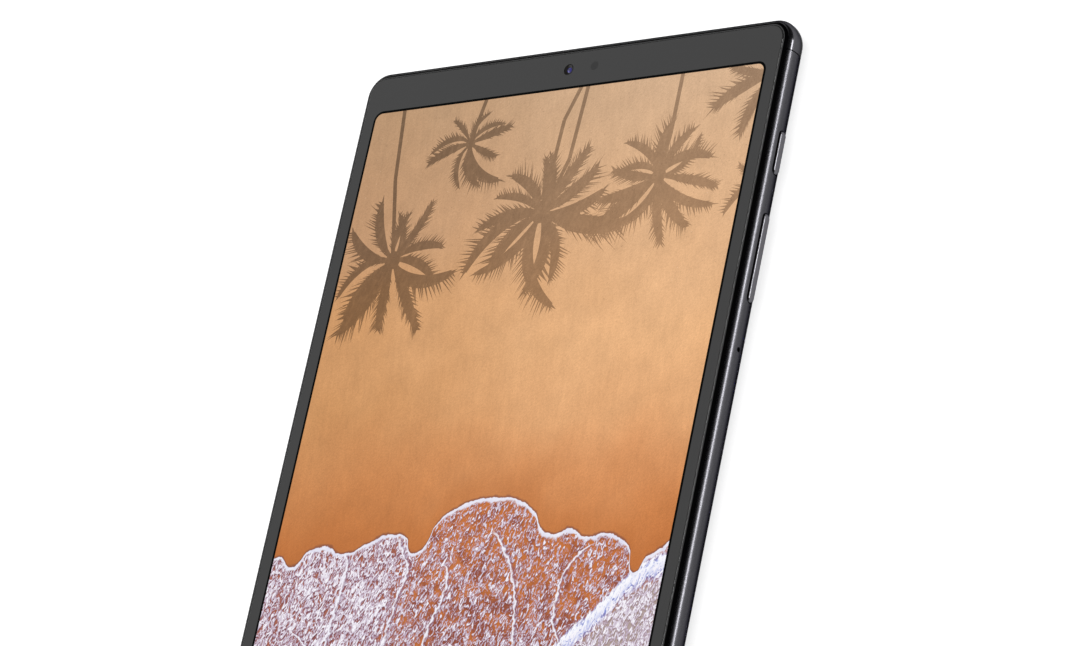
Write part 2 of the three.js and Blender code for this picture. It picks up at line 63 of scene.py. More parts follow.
ON_OUTSIDE = 0.97               # how well a face must match the body's outside to be part of it
AT_OUTSIDE = 0.9                # the same for each of its corners

# ---------- sizes ----------

HAIR = 0.004 * MM               # clearance between pieces that look joined
STRAIGHT = 0.001 * MM           # straight stretch left between two round corners
BIG = 200 * MM                  # past the whole tablet, for cutters
PAST = 2 * MM                   # past a thin plate, for cutters

cover_low, cover_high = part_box("rear_cover")
cap_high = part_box("antenna_cap")[1]
HALF_WIDTH = (cover_high.x - cover_low.x) / 2
HALF_LENGTH = (cap_high.y - cover_low.y) / 2
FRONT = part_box("cover_glass")[1].z
CORNER = 6.0 * MM
BACK_EDGE = 4.9 * MM            # round between the flat back and the side
FRONT_EDGE = 2.63 * MM          # round between the side and the screen
FRONT_EDGE_CENTRE = FRONT - FRONT_EDGE
LIP = 7.3 * MM                  # height at which the metal ends below the black rim
LIP_EDGE = 0.07 * MM            # bevel of the metal's top edge
WALL = 1.35 * MM
FLOOR = 1.0 * MM
INNER_EDGE = 3.65 * MM
SEAM = (cover_high.y, cover_high.y + 0.25 * MM)         # between the shell and the end cap
CORNER_STEPS = 20
EDGE_STEPS = 14

RIGHT_WALL = (59 * MM, 66 * MM)         # a cutter's reach through each wall
LEFT_WALL = (-66 * MM, -58 * MM)
BOTTOM_WALL = (-108 * MM, -102 * MM)
TOP_WALL = (102 * MM, 108 * MM)
BACK_WALL = (-1 * MM, 2 * MM)

GLASS_INSET = 2.1 * MM
GLASS_EDGE = 0.2 * MM
GLASS_BACK = 7.3 * MM
RIM_INSET = 2.0 * MM
RIM_BOTTOM = 7.34 * MM
RIM_STEPS = 10
LEDGE = 7.18 * MM
SKIRT_INSET = 1.45 * MM
LIP_LAND = 0.3 * MM             # flat of the metal's lip that shows beside the rim
RIM_LAND = 0.32 * MM            # flat of the rim that shows beside the glass
PAINTED_HIGHLIGHT_WIDTH = 0.16 * MM          # width of the rim's flat beside the glass, given a paler colour as a painted highlight line
PICTURE = (56.64 * MM, 94.87 * MM)      # half width and half length of the lit picture
PICTURE_CORNER = 1.9 * MM
PICTURE_STEPS = 10
MARGIN = 0.6 * MM                       # black line round the picture

KEY_LENGTHS = {"power_key": 10.2 * MM, "volume_key": 20.8 * MM}
KEY_HEIGHT = 2.2 * MM
KEY_GAP = 0.2 * MM
KEY_EDGE = 0.55 * MM
KEY_RIDGE = 0.1 * MM                    # half height of the flat that crowns a key
KEY_STEPS = 12
KEY_FLANGE = {
    "back": 60.0 * MM, "front": 60.6 * MM, "past_end": 0.8 * MM, "half_height": 1.25 * MM,
    "corner": 0.4 * MM,
}
KEY_BAY = ((57.5 * MM, 36 * MM, 2.5 * MM), (61.0 * MM, 82 * MM, 5.6 * MM))

MICROPHONE_HOLE = 0.57 * MM
MICROPHONE_HEIGHT = 4.7 * MM
FELT_RADIUS = 0.7 * MM

FRONT_CAMERA = (0.0, 99.9 * MM)
CAMERA_RADIUS = 1.36 * MM
CAMERA_BASE = 3.9 * MM
CAMERA_HOUSING = {"half": 2.4 * MM, "corner": 0.3 * MM, "top": 6.4 * MM, "floor": 0.1 * MM}
BARREL = [              # radius and depth below the front, from the outside in, in millimetres
    (1.34, 0.12), (1.24, 0.05), (1.14, 0.1), (0.84, 0.32), (0.68, 0.34), (0.66, 0.8), (0, 0.8),
]
FRONT_LENS = {
    "radius": 0.63 * MM, "back": 0.6 * MM, "curve": 1.05 * MM, "centre": 1.2 * MM,
    "edge_angle": 52,
}
LIGHT_SENSOR = (7.5 * MM, 100.0 * MM)
SENSOR_RADIUS = 1.1 * MM

REAR_CAMERA = (46.0 * MM, 86.5 * MM)
REAR_RING = {
    "outer": 5.0 * MM, "inner": 3.9 * MM, "flange": 5.8 * MM, "top": 1.3 * MM,
    "edge": 0.22 * MM, "gap": 0.05 * MM,
}
REAR_WINDOW = {"gap": 0.06 * MM, "hole": 1.95 * MM, "back": 0.3 * MM, "bevel": 0.1 * MM}
REAR_STEPS = [          # radius and height of the barrel round the lens, in millimetres
    (1.93, 1.05), (1.1, 1.05), (1.12, 0.86), (1.3, 0.8), (1.32, 0.66), (1.5, 0.6), (1.52, 0.46),
    (1.85, 0.4), (1.93, 0.46),
]
REAR_LENS = {"curve": 2.4 * MM, "centre": 3.0 * MM, "edge_angle": 297, "base": 1.07 * MM}

CARD_GAP = 0.12 * MM
CARD_SLOT = {"y": 69.0 * MM, "z": 3.7 * MM, "length": 15.0 * MM, "height": 1.9 * MM}
CARD_BAY = ((-61.0 * MM, 60.5 * MM, 2.5 * MM), (-57.5 * MM, 77.5 * MM, 4.9 * MM))
CARD_PLATE = {"left": -61.1 * MM, "overlap": 0.3 * MM, "half": 6.0 * MM, "half_thick": 0.4 * MM}
CARD_RECESS = {
    "left": -60.2 * MM, "from_end": 4.0 * MM, "border": 0.8 * MM, "corner": 0.7 * MM,
    "depth": 0.15 * MM,
}
CARD_OPENING = {"from_ends": 2.75 * MM, "from_sides": 2.4 * MM, "corner": 0.9 * MM}
EJECT_HOLE = {"radius": 0.4 * MM, "from_end": 0.95 * MM}

USB = {
    "width": 9.2 * MM, "height": 3.5 * MM, "z": 3.5 * MM, "gap": 0.1 * MM, "wall": 0.3 * MM,
    "past_mouth": 0.5 * MM, "recess": 0.15 * MM,
}
USB_TONGUE = {
    "half_width": 3.3 * MM, "half_thick": 0.35 * MM, "corner": 0.12 * MM, "set_back": 1.2 * MM,
    "bevel": 0.15 * MM, "slope": 0.2 * MM, "root": 1.6 * MM, "root_wider": 0.5 * MM,
    "root_thicker": 0.3 * MM,
}
USB_CONTACTS = {
    "Count": 12, "Pitch": 0.5 * MM, "Width": 0.25 * MM, "Length": 3.2 * MM,
    "Thickness": 0.06 * MM,
}
USB_CONTACTS_START = 0.5 * MM

JACK = {
    "x": 28.0 * MM, "z": 3.3 * MM, "hole": 1.95 * MM, "bore": 1.75 * MM, "wall": 0.3 * MM,
    "front": 97.6 * MM, "half": 3.0 * MM, "end": 0.4 * MM, "gap": 0.1 * MM,
}
JACK_SPRINGS = {"Count": 3, "Radius": 1.59 * MM, "Width": 0.7 * MM, "Thickness": 0.12 * MM}
JACK_SPRING_ENDS = (2.5 * MM, 2.4 * MM)         # from the socket's two ends

GRILLE = {"slots": 6, "length": 3.0 * MM, "height": 1.1 * MM, "pitch": 4.4 * MM, "z": 3.6 * MM}
WIRES = {"pitch": 0.3 * MM, "radius": 0.055 * MM, "bottom": 2.95 * MM, "gap": 0.02 * MM}
WIRE_STEPS = 6                  # points along a wire for each pitch
WIRE_SIDES = 6
WIRE_WAVE = 0.9                 # height of a wire's wave, in its own radii

SCREW = {"head": 1.15 * MM, "head_depth": 0.5 * MM, "shank": 0.6 * MM, "core": 0.47 * MM}
SCREW_CROWN = [(0.0, 0.0), (0.7, 0.01), (0.9, 0.07), (1.0, 0.22)]       # share of head, mm down
THREAD = {"pitch": 0.3 * MM, "start": 0.3, "rise": 0.08 * MM, "crest": 0.18 * MM}
SCREW_TIP = 0.1 * MM
CROSS = {"half_length": 0.72 * MM, "half_width": 0.13 * MM, "depth": 0.27 * MM}


# ---------- finishes ----------

def srgb(red, green, blue):
    """A linear colour from display values of 0 to 255."""
    def linear(value):
        value /= 255
        return value / 12.92 if value <= 0.04045 else ((value + 0.055) / 1.055) ** 2.4
    return (linear(red), linear(green), linear(blue), 1.0)


def scale_colour(colour, factor):
    return tuple(channel * factor for channel in colour[:3]) + (1.0,)


class Value:
    """An output of a network's nodes, with arithmetic."""

    def __init__(self, network, socket):
        self.network = network
        self.socket = socket

    def math(self, operation, *others):
        return self.network.node("ShaderNodeMath", {"operation": operation}, [self, *others])

    def __add__(self, other):
        return self.math("ADD", other)

    def __sub__(self, other):
        return self.math("SUBTRACT", other)

    def __rsub__(self, other):
        return self.network.node("ShaderNodeMath", {"operation": "SUBTRACT"}, [other, self])

    def __mul__(self, other):
        return self.math("MULTIPLY", other)

    def __truediv__(self, other):
        return self.math("DIVIDE", other)

    def __abs__(self):
        return self.math("ABSOLUTE")

    __radd__ = __add__

    def step(self, low, high, to_low=0.0, to_high=1.0):
        """Runs smoothly from to_low to to_high as the value runs from low to high."""
        ends = [self, low, high, to_low, to_high]
        return self.network.node("ShaderNodeMapRange", {"interpolation_type": "SMOOTHSTEP"}, ends)


class Network:
    """A tree of nodes that is written as expressions."""

    def __init__(self, tree):
        self.tree = tree
        tree.nodes.clear()

    def node(self, kind, settings=None, inputs=(), output=0):
        """Adds a node with its settings, then its inputs by number or by name."""
        node = self.tree.nodes.new(kind)
        for key, setting in (settings or {}).items():
            if key == "stops":
                self.set_stops(node.color_ramp.elements, setting)
            elif key == "curve":
                self.set_curve(node.mapping, setting)
            else:
                setattr(node, key, setting)
        pairs = inputs.items() if isinstance(inputs, dict) else enumerate(inputs)
        for key, value in pairs:
            if isinstance(value, Value):
                self.tree.links.new(value.socket, node.inputs[key])
            else:
                node.inputs[key].default_value = value
        return Value(self, node.outputs[output])

    @staticmethod
    def set_stops(elements, stops):
        elements[0].position = stops[0][0]
        elements[1].position = stops[-1][0]
        for position, _ in stops[1:-1]:
            elements.new(position)
        for element, (_, colour) in zip(elements, stops):
            element.color = colour

    @staticmethod
    def set_curve(mapping, points):
        curve = mapping.curves[0]
        for x, y in points[2:]:
            curve.points.new(x, y)
        for point, (x, y) in zip(curve.points, points):
            point.location = (x, y)
        mapping.update()

    def ramp(self, value, stops):
        return self.node("ShaderNodeValToRGB", {"stops": stops}, [value])

    def blend(self, factor, first, second, mode="MIX"):
        settings = {"data_type": "RGBA", "blend_type": mode}
        return self.node("ShaderNodeMix", settings, {0: factor, 6: first, 7: second}, output=2)

    def end(self, kind, value, socket=0):
        """Adds an output node and joins a value to it."""
        self.tree.links.new(value.socket, self.tree.nodes.new(kind).inputs[socket])


class Finish(Network):
    """A material whose patterns lie in the object's own place, in metres."""

    def __init__(self, name):
        self.material = bpy.data.materials.new(name)
        self.material.use_nodes = True
        super().__init__(self.material.node_tree)
        self.place = self.node("ShaderNodeTexCoord", output="Object")

    def scaled(self, size, turn=0.0):
        """The place in units of size, a length or one along each axis, after a turn about Z."""
        sizes = size if isinstance(size, tuple) else (size, size, size)
        rates = tuple(1 / length for length in sizes)
        turned = self.node(
            "ShaderNodeMapping", inputs={"Vector": self.place, "Rotation": (0, 0, turn)})
        return self.node(
            "ShaderNodeVectorMath", {"operation": "MULTIPLY"}, [turned, rates])

    def noise(self, size, detail=2.0, turn=0.0, roughness=0.5):
        inputs = {
            "Vector": self.scaled(size, turn), "Scale": 1.0, "Detail": detail,
            "Roughness": roughness,
        }
        return self.node("ShaderNodeTexNoise", inputs=inputs)

    def mottle(self, pattern, colour, spread):
        """The colour, from darker to lighter by a share of itself as the pattern rises."""
        return self.blend(pattern, scale_colour(colour, 1 - spread), scale_colour(colour, 1 + spread))

    def bump(self, height, depth):
        inputs = {"Height": height, "Distance": depth, "Strength": 1.0}
        return self.node("ShaderNodeBump", inputs=inputs)

    def surface(self, **sockets):
        """Joins the finish to a shader, with socket names in lower case and words joined by _."""
        inputs = {key.replace("_", " ").title(): value for key, value in sockets.items()}
        inputs = {key.replace("Ior", "IOR"): value for key, value in inputs.items()}
        shader = self.node("ShaderNodeBsdfPrincipled", inputs=inputs)
        self.end("ShaderNodeOutputMaterial", shader)
        return self.material


class Growth(Network):
    """A group of geometry nodes that makes what repeats, with its sizes as named inputs."""

    SOCKETS = {
        float: "NodeSocketFloat", int: "NodeSocketInt", bpy.types.Object: "NodeSocketObject",
        bpy.types.Material: "NodeSocketMaterial",
    }

    def __init__(self, name, sizes):
        super().__init__(bpy.data.node_groups.new(name, "GeometryNodeTree"))
        self.sizes = sizes
        self.sockets = {}
        self.add_socket("Geometry", "NodeSocketGeometry", "OUTPUT")
        self.add_socket("Geometry", "NodeSocketGeometry")
        for label, size in sizes.items():
            kind = next(kind for kind in self.SOCKETS if isinstance(size, kind))
            self.sockets[label] = self.add_socket(label, self.SOCKETS[kind]).identifier
        self.entry = self.tree.nodes.new("NodeGroupInput")

    def add_socket(self, label, kind, way="INPUT"):
        return self.tree.interface.new_socket(label, in_out=way, socket_type=kind)

    def given(self, label):
        return Value(self, self.entry.outputs[label])

    def grow(self, geometry, base):
        """Ends the tree at a geometry, and returns the plain mesh it makes of a base mesh."""
        realised = self.node("GeometryNodeRealizeInstances", inputs=[geometry])
        painted = self.node("GeometryNodeSetMaterial", inputs={
            "Geometry": realised, "Material": self.given("Material")})
        self.end("NodeGroupOutput", painted)
        holder = bpy.data.objects.new("holder", base)
        bpy.context.scene.collection.objects.link(holder)
        modifier = holder.modifiers.new("growth", "NODES")
        modifier.node_group = self.tree
        for label, size in self.sizes.items():
            modifier[self.sockets[label]] = size
        graph = bpy.context.evaluated_depsgraph_get()
        mesh = bpy.data.meshes.new_from_object(holder.evaluated_get(graph), depsgraph=graph)
        bpy.data.objects.remove(holder)
        return mesh


EDGE_TINT = (0.2, 0.2, 0.22, 1)         # keeps anodised edges from turning white at a low angle


def shell_metal():
    """Anodised aluminium of the shell, with a fine blasted grain and faint handling marks."""
    finish = Finish("blasted_aluminium")
    colour = (0.064, 0.063, 0.069, 1)
    grains = finish.noise(0.16 * MM, detail=3)
    clouds = finish.noise(14 * MM, detail=3)
    scuffs = finish.noise((1.1 * MM, 9 * MM, 1.1 * MM), detail=4, turn=0.5)
    shade = finish.mottle(grains.step(0.3, 0.7), colour, 0.1)
    clouded = finish.blend(clouds.step(0.35, 0.7, 0, 0.35), shade, scale_colour(colour, 0.86))
    rough = 0.27 + grains * 0.06 + scuffs.step(0.62, 0.75) * 0.05 - 0.03
    return finish.surface(
        base_color=clouded, roughness=rough, metallic=1.0, specular_tint=EDGE_TINT,
        normal=finish.bump(grains, 0.001 * MM))


def cap_plastic():
    """Metallic paint on the plastic end cap, glossier than the metal beside it."""
    finish = Finish("cap_paint")
    colour = (0.068, 0.067, 0.073, 1.0)
    flakes = finish.noise(0.09 * MM, detail=2)
    waves = finish.noise(5 * MM, detail=2)
    shade = finish.mottle(flakes.step(0.4, 0.65), colour, 0.15)
    return finish.surface(
        base_color=shade, roughness=0.17 + flakes * 0.05, metallic=0.95, coat_weight=0.12,
        coat_roughness=0.06, specular_tint=EDGE_TINT, normal=finish.bump(waves, 0.006 * MM))


def key_metal():
    """Brushed aluminium of the keys, brushed along the side."""
    finish = Finish("brushed_key_metal")
    colour = (0.12, 0.118, 0.128, 1.0)
    strokes = finish.noise((0.05 * MM, 2.5 * MM, 0.05 * MM), detail=3)
    shade = finish.mottle(strokes.step(0.3, 0.7), colour, 0.15)
    return finish.surface(
        base_color=shade, roughness=0.22 + strokes * 0.08, metallic=1.0, specular_tint=EDGE_TINT,
        normal=finish.bump(strokes, 0.003 * MM))


def rim_plastic(name, colour, level):
    """Black plastic of the rim round the glass, with a fine moulded grain; a paler copy of it paints a
    highlight line along the glass.
    """
    finish = Finish(name)
    grain = finish.noise(0.2 * MM, detail=3)
    shade = finish.mottle(grain, colour, 0.25)
    return finish.surface(
        base_color=shade, roughness=0.22 + grain * 0.06, specular_ior_level=level,
        normal=finish.bump(grain, 0.001 * MM))


def printed_glass(name, colour, level=0.5):
    """The back-printed border of the cover glass, with a faint haze where hands touch it."""
    finish = Finish(name)
    haze = finish.noise(18 * MM, detail=4, roughness=0.6)
    smear = finish.noise((3 * MM, 16 * MM, 3 * MM), detail=3, turn=0.7)
    tone = finish.mottle(haze, colour, 0.06)
    rough = 0.05 + haze.step(0.5, 0.75) * 0.03 + smear.step(0.6, 0.8) * 0.03
    return finish.surface(base_color=tone, roughness=rough, specular_ior_level=level, ior=1.5)


def moulded(name, colour, roughness=0.5, grain=0.25 * MM, depth=0.006 * MM):
    """A moulded or rolled surface with a fine even grain and slight clouds."""
    finish = Finish(name)
    grains = finish.noise(grain, detail=3)
    clouds = finish.noise(8 * MM, detail=3)
    shade = finish.mottle(grains, colour, 0.12)
    shade = finish.blend(clouds.step(0.4, 0.7, 0, 0.4), shade, scale_colour(colour, 0.8))
    return finish.surface(
        base_color=shade, roughness=roughness + grains * 0.1 - 0.05,
        normal=finish.bump(grains, depth))


def brushed_sheet(name, colour, roughness=0.35):
    """Rolled sheet metal with rolling lines along its length."""
    finish = Finish(name)
    lines = finish.noise((0.08 * MM, 6 * MM, 0.08 * MM), detail=3)
    blotches = finish.noise(6 * MM, detail=3)
    shade = finish.blend(lines, scale_colour(colour, 0.8), scale_colour(colour, 1.15))
    shade = finish.blend(blotches.step(0.5, 0.7, 0, 0.3), shade, scale_colour(colour, 0.75))
    return finish.surface(
        base_color=shade, roughness=roughness + lines * 0.12 - 0.06, metallic=1.0,
        normal=finish.bump(lines, 0.003 * MM))


def circuit_board():
    """Green solder mask over faint copper tracks."""
    finish = Finish("solder_mask")
    tracks = finish.node("ShaderNodeTexBrick", inputs={
        "Vector": finish.scaled(2.4 * MM), "Scale": 1.0, "Mortar Size": 0.06, "Mortar Smooth": 0.3,
        "Brick Width": 1.7, "Row Height": 0.45,
    }, output="Fac")
    clouds = finish.noise(5 * MM, detail=3)
    mask = finish.blend(clouds, (0.008, 0.055, 0.022, 1), (0.012, 0.085, 0.035, 1))
    shade = finish.blend(tracks * 0.6, mask, (0.03, 0.16, 0.06, 1))
    return finish.surface(
        base_color=shade, roughness=0.35 + clouds * 0.1, coat_weight=0.3,
        normal=finish.bump(tracks, 0.02 * MM))


def lens_glass(name, rim_colour, centre_colour, centre, reach):
    """A coated lens whose colour runs from its centre to its rim."""
    finish = Finish(name)
    offset = finish.node("ShaderNodeVectorMath", {"operation": "SUBTRACT"}, [finish.place, centre])
    far = finish.node("ShaderNodeVectorMath", {"operation": "LENGTH"}, [offset], output="Value")
    tint = finish.noise(reach, detail=1)
    shade = finish.ramp(far / reach + tint * 0.2 - 0.1, [
        (0.0, centre_colour), (0.35, centre_colour), (0.55, rim_colour),
        (1.0, scale_colour(rim_colour, 0.6)),
    ])
    return finish.surface(
        base_color=shade, roughness=0.04 + tint * 0.02, specular_ior_level=0.8, coat_weight=1.0,
        coat_roughness=0.02)


# ---------- the picture on the screen ----------

# Places on the picture are in millimetres from its middle.
GLARE = (0.045, 0.045, 0.045, 1)         # what the glass adds by reflection, taken off the picture
SAND_HEIGHTS = (-20.0, 95.0)
SAND_LEFT = [
    (0.0, srgb(188, 112, 58)), (0.08, srgb(194, 122, 68)), (0.2, srgb(199, 134, 82)),
    (0.35, srgb(203, 146, 94)), (0.55, srgb(205, 152, 103)), (0.72, srgb(192, 148, 110)),
    (1.0, srgb(184, 147, 112)),
]
SAND_RIGHT = [
    (0.0, srgb(196, 118, 64)), (0.08, srgb(202, 128, 74)), (0.2, srgb(216, 150, 99)),
    (0.3, srgb(225, 168, 118)), (0.45, srgb(231, 179, 130)), (0.7, srgb(223, 178, 136)),
    (1.0, srgb(211, 175, 141)),
]
FOAM_FRONT = [
    (-58, -17), (-55, -16.3), (-51, -18.6), (-47, -15.5), (-42, -14), (-36, -16.2),
    (-29, -14), (-22, -12.1), (-17.5, -13.6), (-15, -17), (-10, -10.5), (-4, -6.3), (3, -4.6),
    (10, -5), (18, -8.8), (24.6, -14.2), (28.5, -12.9), (34, -15.2), (38.5, -14.6), (43, -15.8),
    (46.6, -19), (48.8, -24), (51, -20.4), (54, -19), (58, -15.5),
]
CRESTS = [              # lines left by earlier waves, from low to high, as (height, across)
    [(-60, 24), (-38, 19), (-30, 17.6), (-23.5, 15.2), (-17, 11.3), (-12.5, 7)],
    [(-60, 40), (-46, 36.5), (-38.5, 31.5), (-30.5, 28.7), (-24, 29.5), (-19.5, 32.2), (-16.4, 38)],
    [(-45, -18.5), (-27, -16.7), (-20.5, -15.5), (-17.8, -17.4), (-13, -20)],
    [(-60, -38), (-36, -35), (-22.5, -34), (-18.5, -33.8), (-15, -40)],
    [(-90, 2), (-70, -3), (-52, -7), (-36, -6), (-23, -3.2), (-19.5, -8.4)],
    [(-94, -30), (-75, -26), (-55, -31), (-44, -36), (-34, -47)],
]
THICK_FOAM = [(25, -52), (32.4, -39), (38, -34.2), (43.7, -29), (48, -24.5), (58, -20)]
PALMS = [               # crown, reach and number of fronds
    (-25, 84, 12, 10), (-41, 56, 20, 13), (1, 64, 22, 15), (33, 70, 17, 14), (60, 92, 17, 9),
    (64, 66, 14, 8),
]
TRUNKS = [              # from the crown to where the trunk leaves the picture
    ((-25, 84), (-24, 90), (-23, 95)), ((-41, 56), (-46, 77), (-48, 95)),
    ((1, 65), (2, 87), (5, 95)), ((2, 65), (6, 77), (7, 95)), ((33, 70), (34, 80), (34, 95)),
]


def foam_lace(finish, offset=(0, 0, 0)):
    """The pattern of thin foam, drawn out along the way the water runs."""
    place = finish.scaled((0.74 * MM, 1.5 * MM, 1.0 * MM), turn=0.3)
    moved = finish.node("ShaderNodeVectorMath", {"operation": "ADD"}, [place, offset])
    return finish.node("ShaderNodeTexNoise", inputs={
        "Vector": moved, "Scale": 1.0, "Detail": 4.0, "Roughness": 0.6, "Distortion": 1.4})


def curve_through(finish, points, value):
    """The smooth curve through (input, output) points, in their own units, at a value."""
    inputs = [point[0] for point in points]
    outputs = [point[1] for point in points]
    start, width = min(inputs), max(inputs) - min(inputs)
    low, height = min(outputs), max(outputs) - min(outputs)
    curve = [((x - start) / width, (y - low) / height) for x, y in points]
    share = finish.node("ShaderNodeFloatCurve", {"curve": curve}, {1: (value - start) / width})
    return share * height + low


def screen_picture():
    """A beach from above: sand, palm shade from the mesh attribute and the edge of a wave."""
    finish = Finish("beach_picture")
    in_mm = finish.scaled(MM)
    across = finish.node("ShaderNodeSeparateXYZ", inputs=[in_mm], output="X")
    up = finish.node("ShaderNodeSeparateXYZ", inputs=[in_mm], output="Y")

    low, high = SAND_HEIGHTS
    drift = finish.noise(24 * MM, detail=2, turn=0.4) - 0.5
    rows = finish.noise((1.3 * MM, 9 * MM, 2 * MM), detail=4, turn=-0.12, roughness=0.6)
    height = (up - low + drift * 16) / (high - low)
    side = (across + drift * 30).step(-58, 46)
    sand = finish.blend(side, finish.ramp(height, SAND_LEFT), finish.ramp(height, SAND_RIGHT))
    sand = tinted(finish, sand, rows, 0.05)
    sand = tinted(finish, sand, finish.noise(7 * MM, detail=3, turn=0.9), 0.07)
    sand = tinted(finish, sand, finish.noise((0.2 * MM, 0.42 * MM, 0.3 * MM), 3, turn=0.7), 0.13)
    dents = finish.noise((0.28 * MM, 0.75 * MM, 0.4 * MM), detail=1, turn=0.75)
    upper = up.step(30, 62, 0.12, 0.6)
    sand = finish.blend(dents.step(0.7, 0.78) * upper, sand, srgb(126, 92, 66))
    lights = finish.noise((0.3 * MM, 0.5 * MM, 0.4 * MM), detail=1, turn=2.2)
    sand = finish.blend(lights.step(0.73, 0.8) * upper, sand, srgb(240, 212, 184))

    palms = finish.node("ShaderNodeAttribute", {"attribute_name": "palm_shade"}, output="Fac")
    leaves = finish.noise((1.2 * MM, 2.5 * MM, 2 * MM), detail=4, turn=0.3)
    depth = palms * leaves.step(0.2, 0.6, 0.86, 1.0)
    tint = finish.blend(side, srgb(160, 158, 156), srgb(188, 184, 182))
    sand = finish.blend(depth, sand, finish.blend(1.0, sand, tint, "MULTIPLY"))

    picture = foam_over(finish, sand, across, up)
    picture = finish.blend(1.0, picture, GLARE, "SUBTRACT")
    return finish.surface(
        base_color=(0.004, 0.004, 0.004, 1), roughness=0.06, ior=1.5,
        emission_color=picture, emission_strength=1.0)


def tinted(finish, colour, pattern, strength):
    """The colour made lighter and darker by a pattern."""
    shades = [(0.25, (1 - strength,) * 3 + (1,)), (0.75, (1 + strength,) * 3 + (1,))]
    return finish.blend(1.0, colour, finish.ramp(pattern, shades), "MULTIPLY")


def foam_over(finish, sand, across, up):
    """The edge of a spent wave over the sand: a bright rim, lace behind it and older crests."""
    wobble = finish.noise(1.5 * MM, detail=3) - 0.5
    slow = finish.noise(6 * MM, detail=2) - 0.5
    behind = curve_through(finish, FOAM_FRONT, across) + wobble * 1.1 + slow * 1.2 - up
    thick = curve_through(finish, THICK_FOAM, across) + wobble * 2 - up

    left = 1 - across.step(-24, -8)
    lace = foam_lace(finish)
    cloud = finish.noise((5 * MM, 11 * MM, 5 * MM), detail=3, turn=0.3)
    lane = thick.step(-1.5, 0.5) * (1 - thick.step(2.5, 5.5))
    beyond = thick.step(3, 7)
    level = 0.6 - left * 0.065 - behind.step(6, 60) * 0.05 - cloud * 0.14
    level = level - lane * 0.16 - beyond * 0.07
    cover = (lace - level).step(-0.03, 0.03)
    cast = (foam_lace(finish, offset=(-0.3, 0.22, 0)) - level).step(-0.02, 0.06) * (1 - cover)
    deep = finish.noise(4 * MM, detail=3) + behind.step(8, 30) * 0.12
    wet = finish.blend(deep.step(0.42, 0.72), srgb(196, 114, 58), srgb(146, 78, 58))
    wet = finish.blend(lane, wet, srgb(124, 140, 206))
    wet = finish.blend(beyond, wet, srgb(176, 158, 150))
    wet = finish.blend(left * 0.5, wet, srgb(132, 84, 92))
    wet = finish.blend(cast * (0.5 + left * 0.3), wet, srgb(100, 58, 72))
    streaks = finish.noise((0.8 * MM, 2.6 * MM, 2 * MM), detail=5, turn=0.3, roughness=0.65)
    lilac = finish.blend(lane, srgb(184, 162, 186), srgb(128, 146, 220))
    body = (lace - level).step(0.01, 0.11) * streaks.step(0.35, 0.55, 0.3, 1.0)
    white = finish.blend(body, lilac, srgb(246, 243, 250))
    water = finish.blend(cover, wet, white)

    crest, trough = None, None
    for points in CRESTS:
        line = across - curve_through(finish, points, up) + wobble * 2.2
        reach = (up - points[-1][0]).step(-1.5, 0.5, 1.0, 0.0) * (up - points[0][0]).step(0, 14)
        band = (1 - abs(line).step(0.1, 0.5)) * reach
        dark = line.step(0.1, 0.4) * (1 - line.step(0.5, 1.3)) * reach
        crest = band if crest is None else crest.math("MAXIMUM", band)
        trough = dark if trough is None else trough.math("MAXIMUM", dark)
    water = finish.blend(trough * 0.5, water, srgb(120, 84, 116))
    water = finish.blend(crest * streaks.step(0.3, 0.5, 0.4, 0.95), water, srgb(242, 240, 250))
    ragged = streaks.step(0.32, 0.62) * 2.5
    edge = (1 - abs(thick + ragged - 2.2).step(0.2, 1.5)) * streaks.step(0.3, 0.55, 0.35, 1.0)
    water = finish.blend(edge, water, srgb(250, 250, 255))

    width = wobble * 0.6 + slow * 1.2
    rim = behind.step(0.0, 0.12) * (1 - (behind + width).step(0.55, 1.25))
    water = finish.blend(rim, water, finish.blend(wobble + 0.5, srgb(206, 204, 232), srgb(253, 253, 255)))
    shade = behind.step(-0.75, -0.05)
    shore = finish.blend(behind.step(-9, 0) * 0.25, sand, srgb(180, 104, 50))
    shore = finish.blend(shade * 0.62, shore, srgb(96, 60, 62))
    return finish.blend(behind.step(-0.1, 0.1), shore, water)


# ---------- mesh helpers ----------

def rounded_ring(half_x, half_y, radius, steps=CORNER_STEPS, centre=(0.0, 0.0)):
    """Points anticlockwise round a rectangle with round corners."""
    points = []
    for turn, (right, top) in enumerate(((1, 1), (-1, 1), (-1, -1), (1, -1))):
        for i in range(steps + 1):
            angle = (turn + i / steps) * QUARTER
            x = centre[0] + right * (half_x - radius) + radius * math.cos(angle)
            y = centre[1] + top * (half_y - radius) + radius * math.sin(angle)
            points.append((x, y))
    return points


def circle(radius, centre=(0.0, 0.0), steps=48):
    turns = [i * 2 * math.pi / steps for i in range(steps)]
    return [(centre[0] + radius * math.cos(a), centre[1] + radius * math.sin(a)) for a in turns]


def arc(centre, radius, start, end, steps):
    """Points on an arc, with its angles in degrees."""
    angles = [math.radians(start + (end - start) * i / steps) for i in range(steps + 1)]
    return [(centre[0] + radius * math.cos(a), centre[1] + radius * math.sin(a)) for a in angles]


def plan(u, v, w):
    """An outline in X and Y, raised along Z."""
    return (u, v, w)


def on_side(u, v, w):
    """An outline in Y and Z, pushed along X."""
    return (w, u, v)


def on_end(u, v, w):
    """An outline in X and Z, pushed along Y."""
    return (u, w, v)


def add_wall(form, rings, closed=False):
    """Adds quads between rings of points, and returns the rings' corners."""
    loops = [[form.verts.new(point) for point in ring] for ring in rings]
    pairs = list(zip(loops, loops[1:]))
    if closed:
        pairs.append((loops[-1], loops[0]))
    for near, far in pairs:
        for i, vert in enumerate(near):
            j = (i + 1) % len(near)
            form.faces.new((vert, near[j], far[j], far[i]))
    return loops


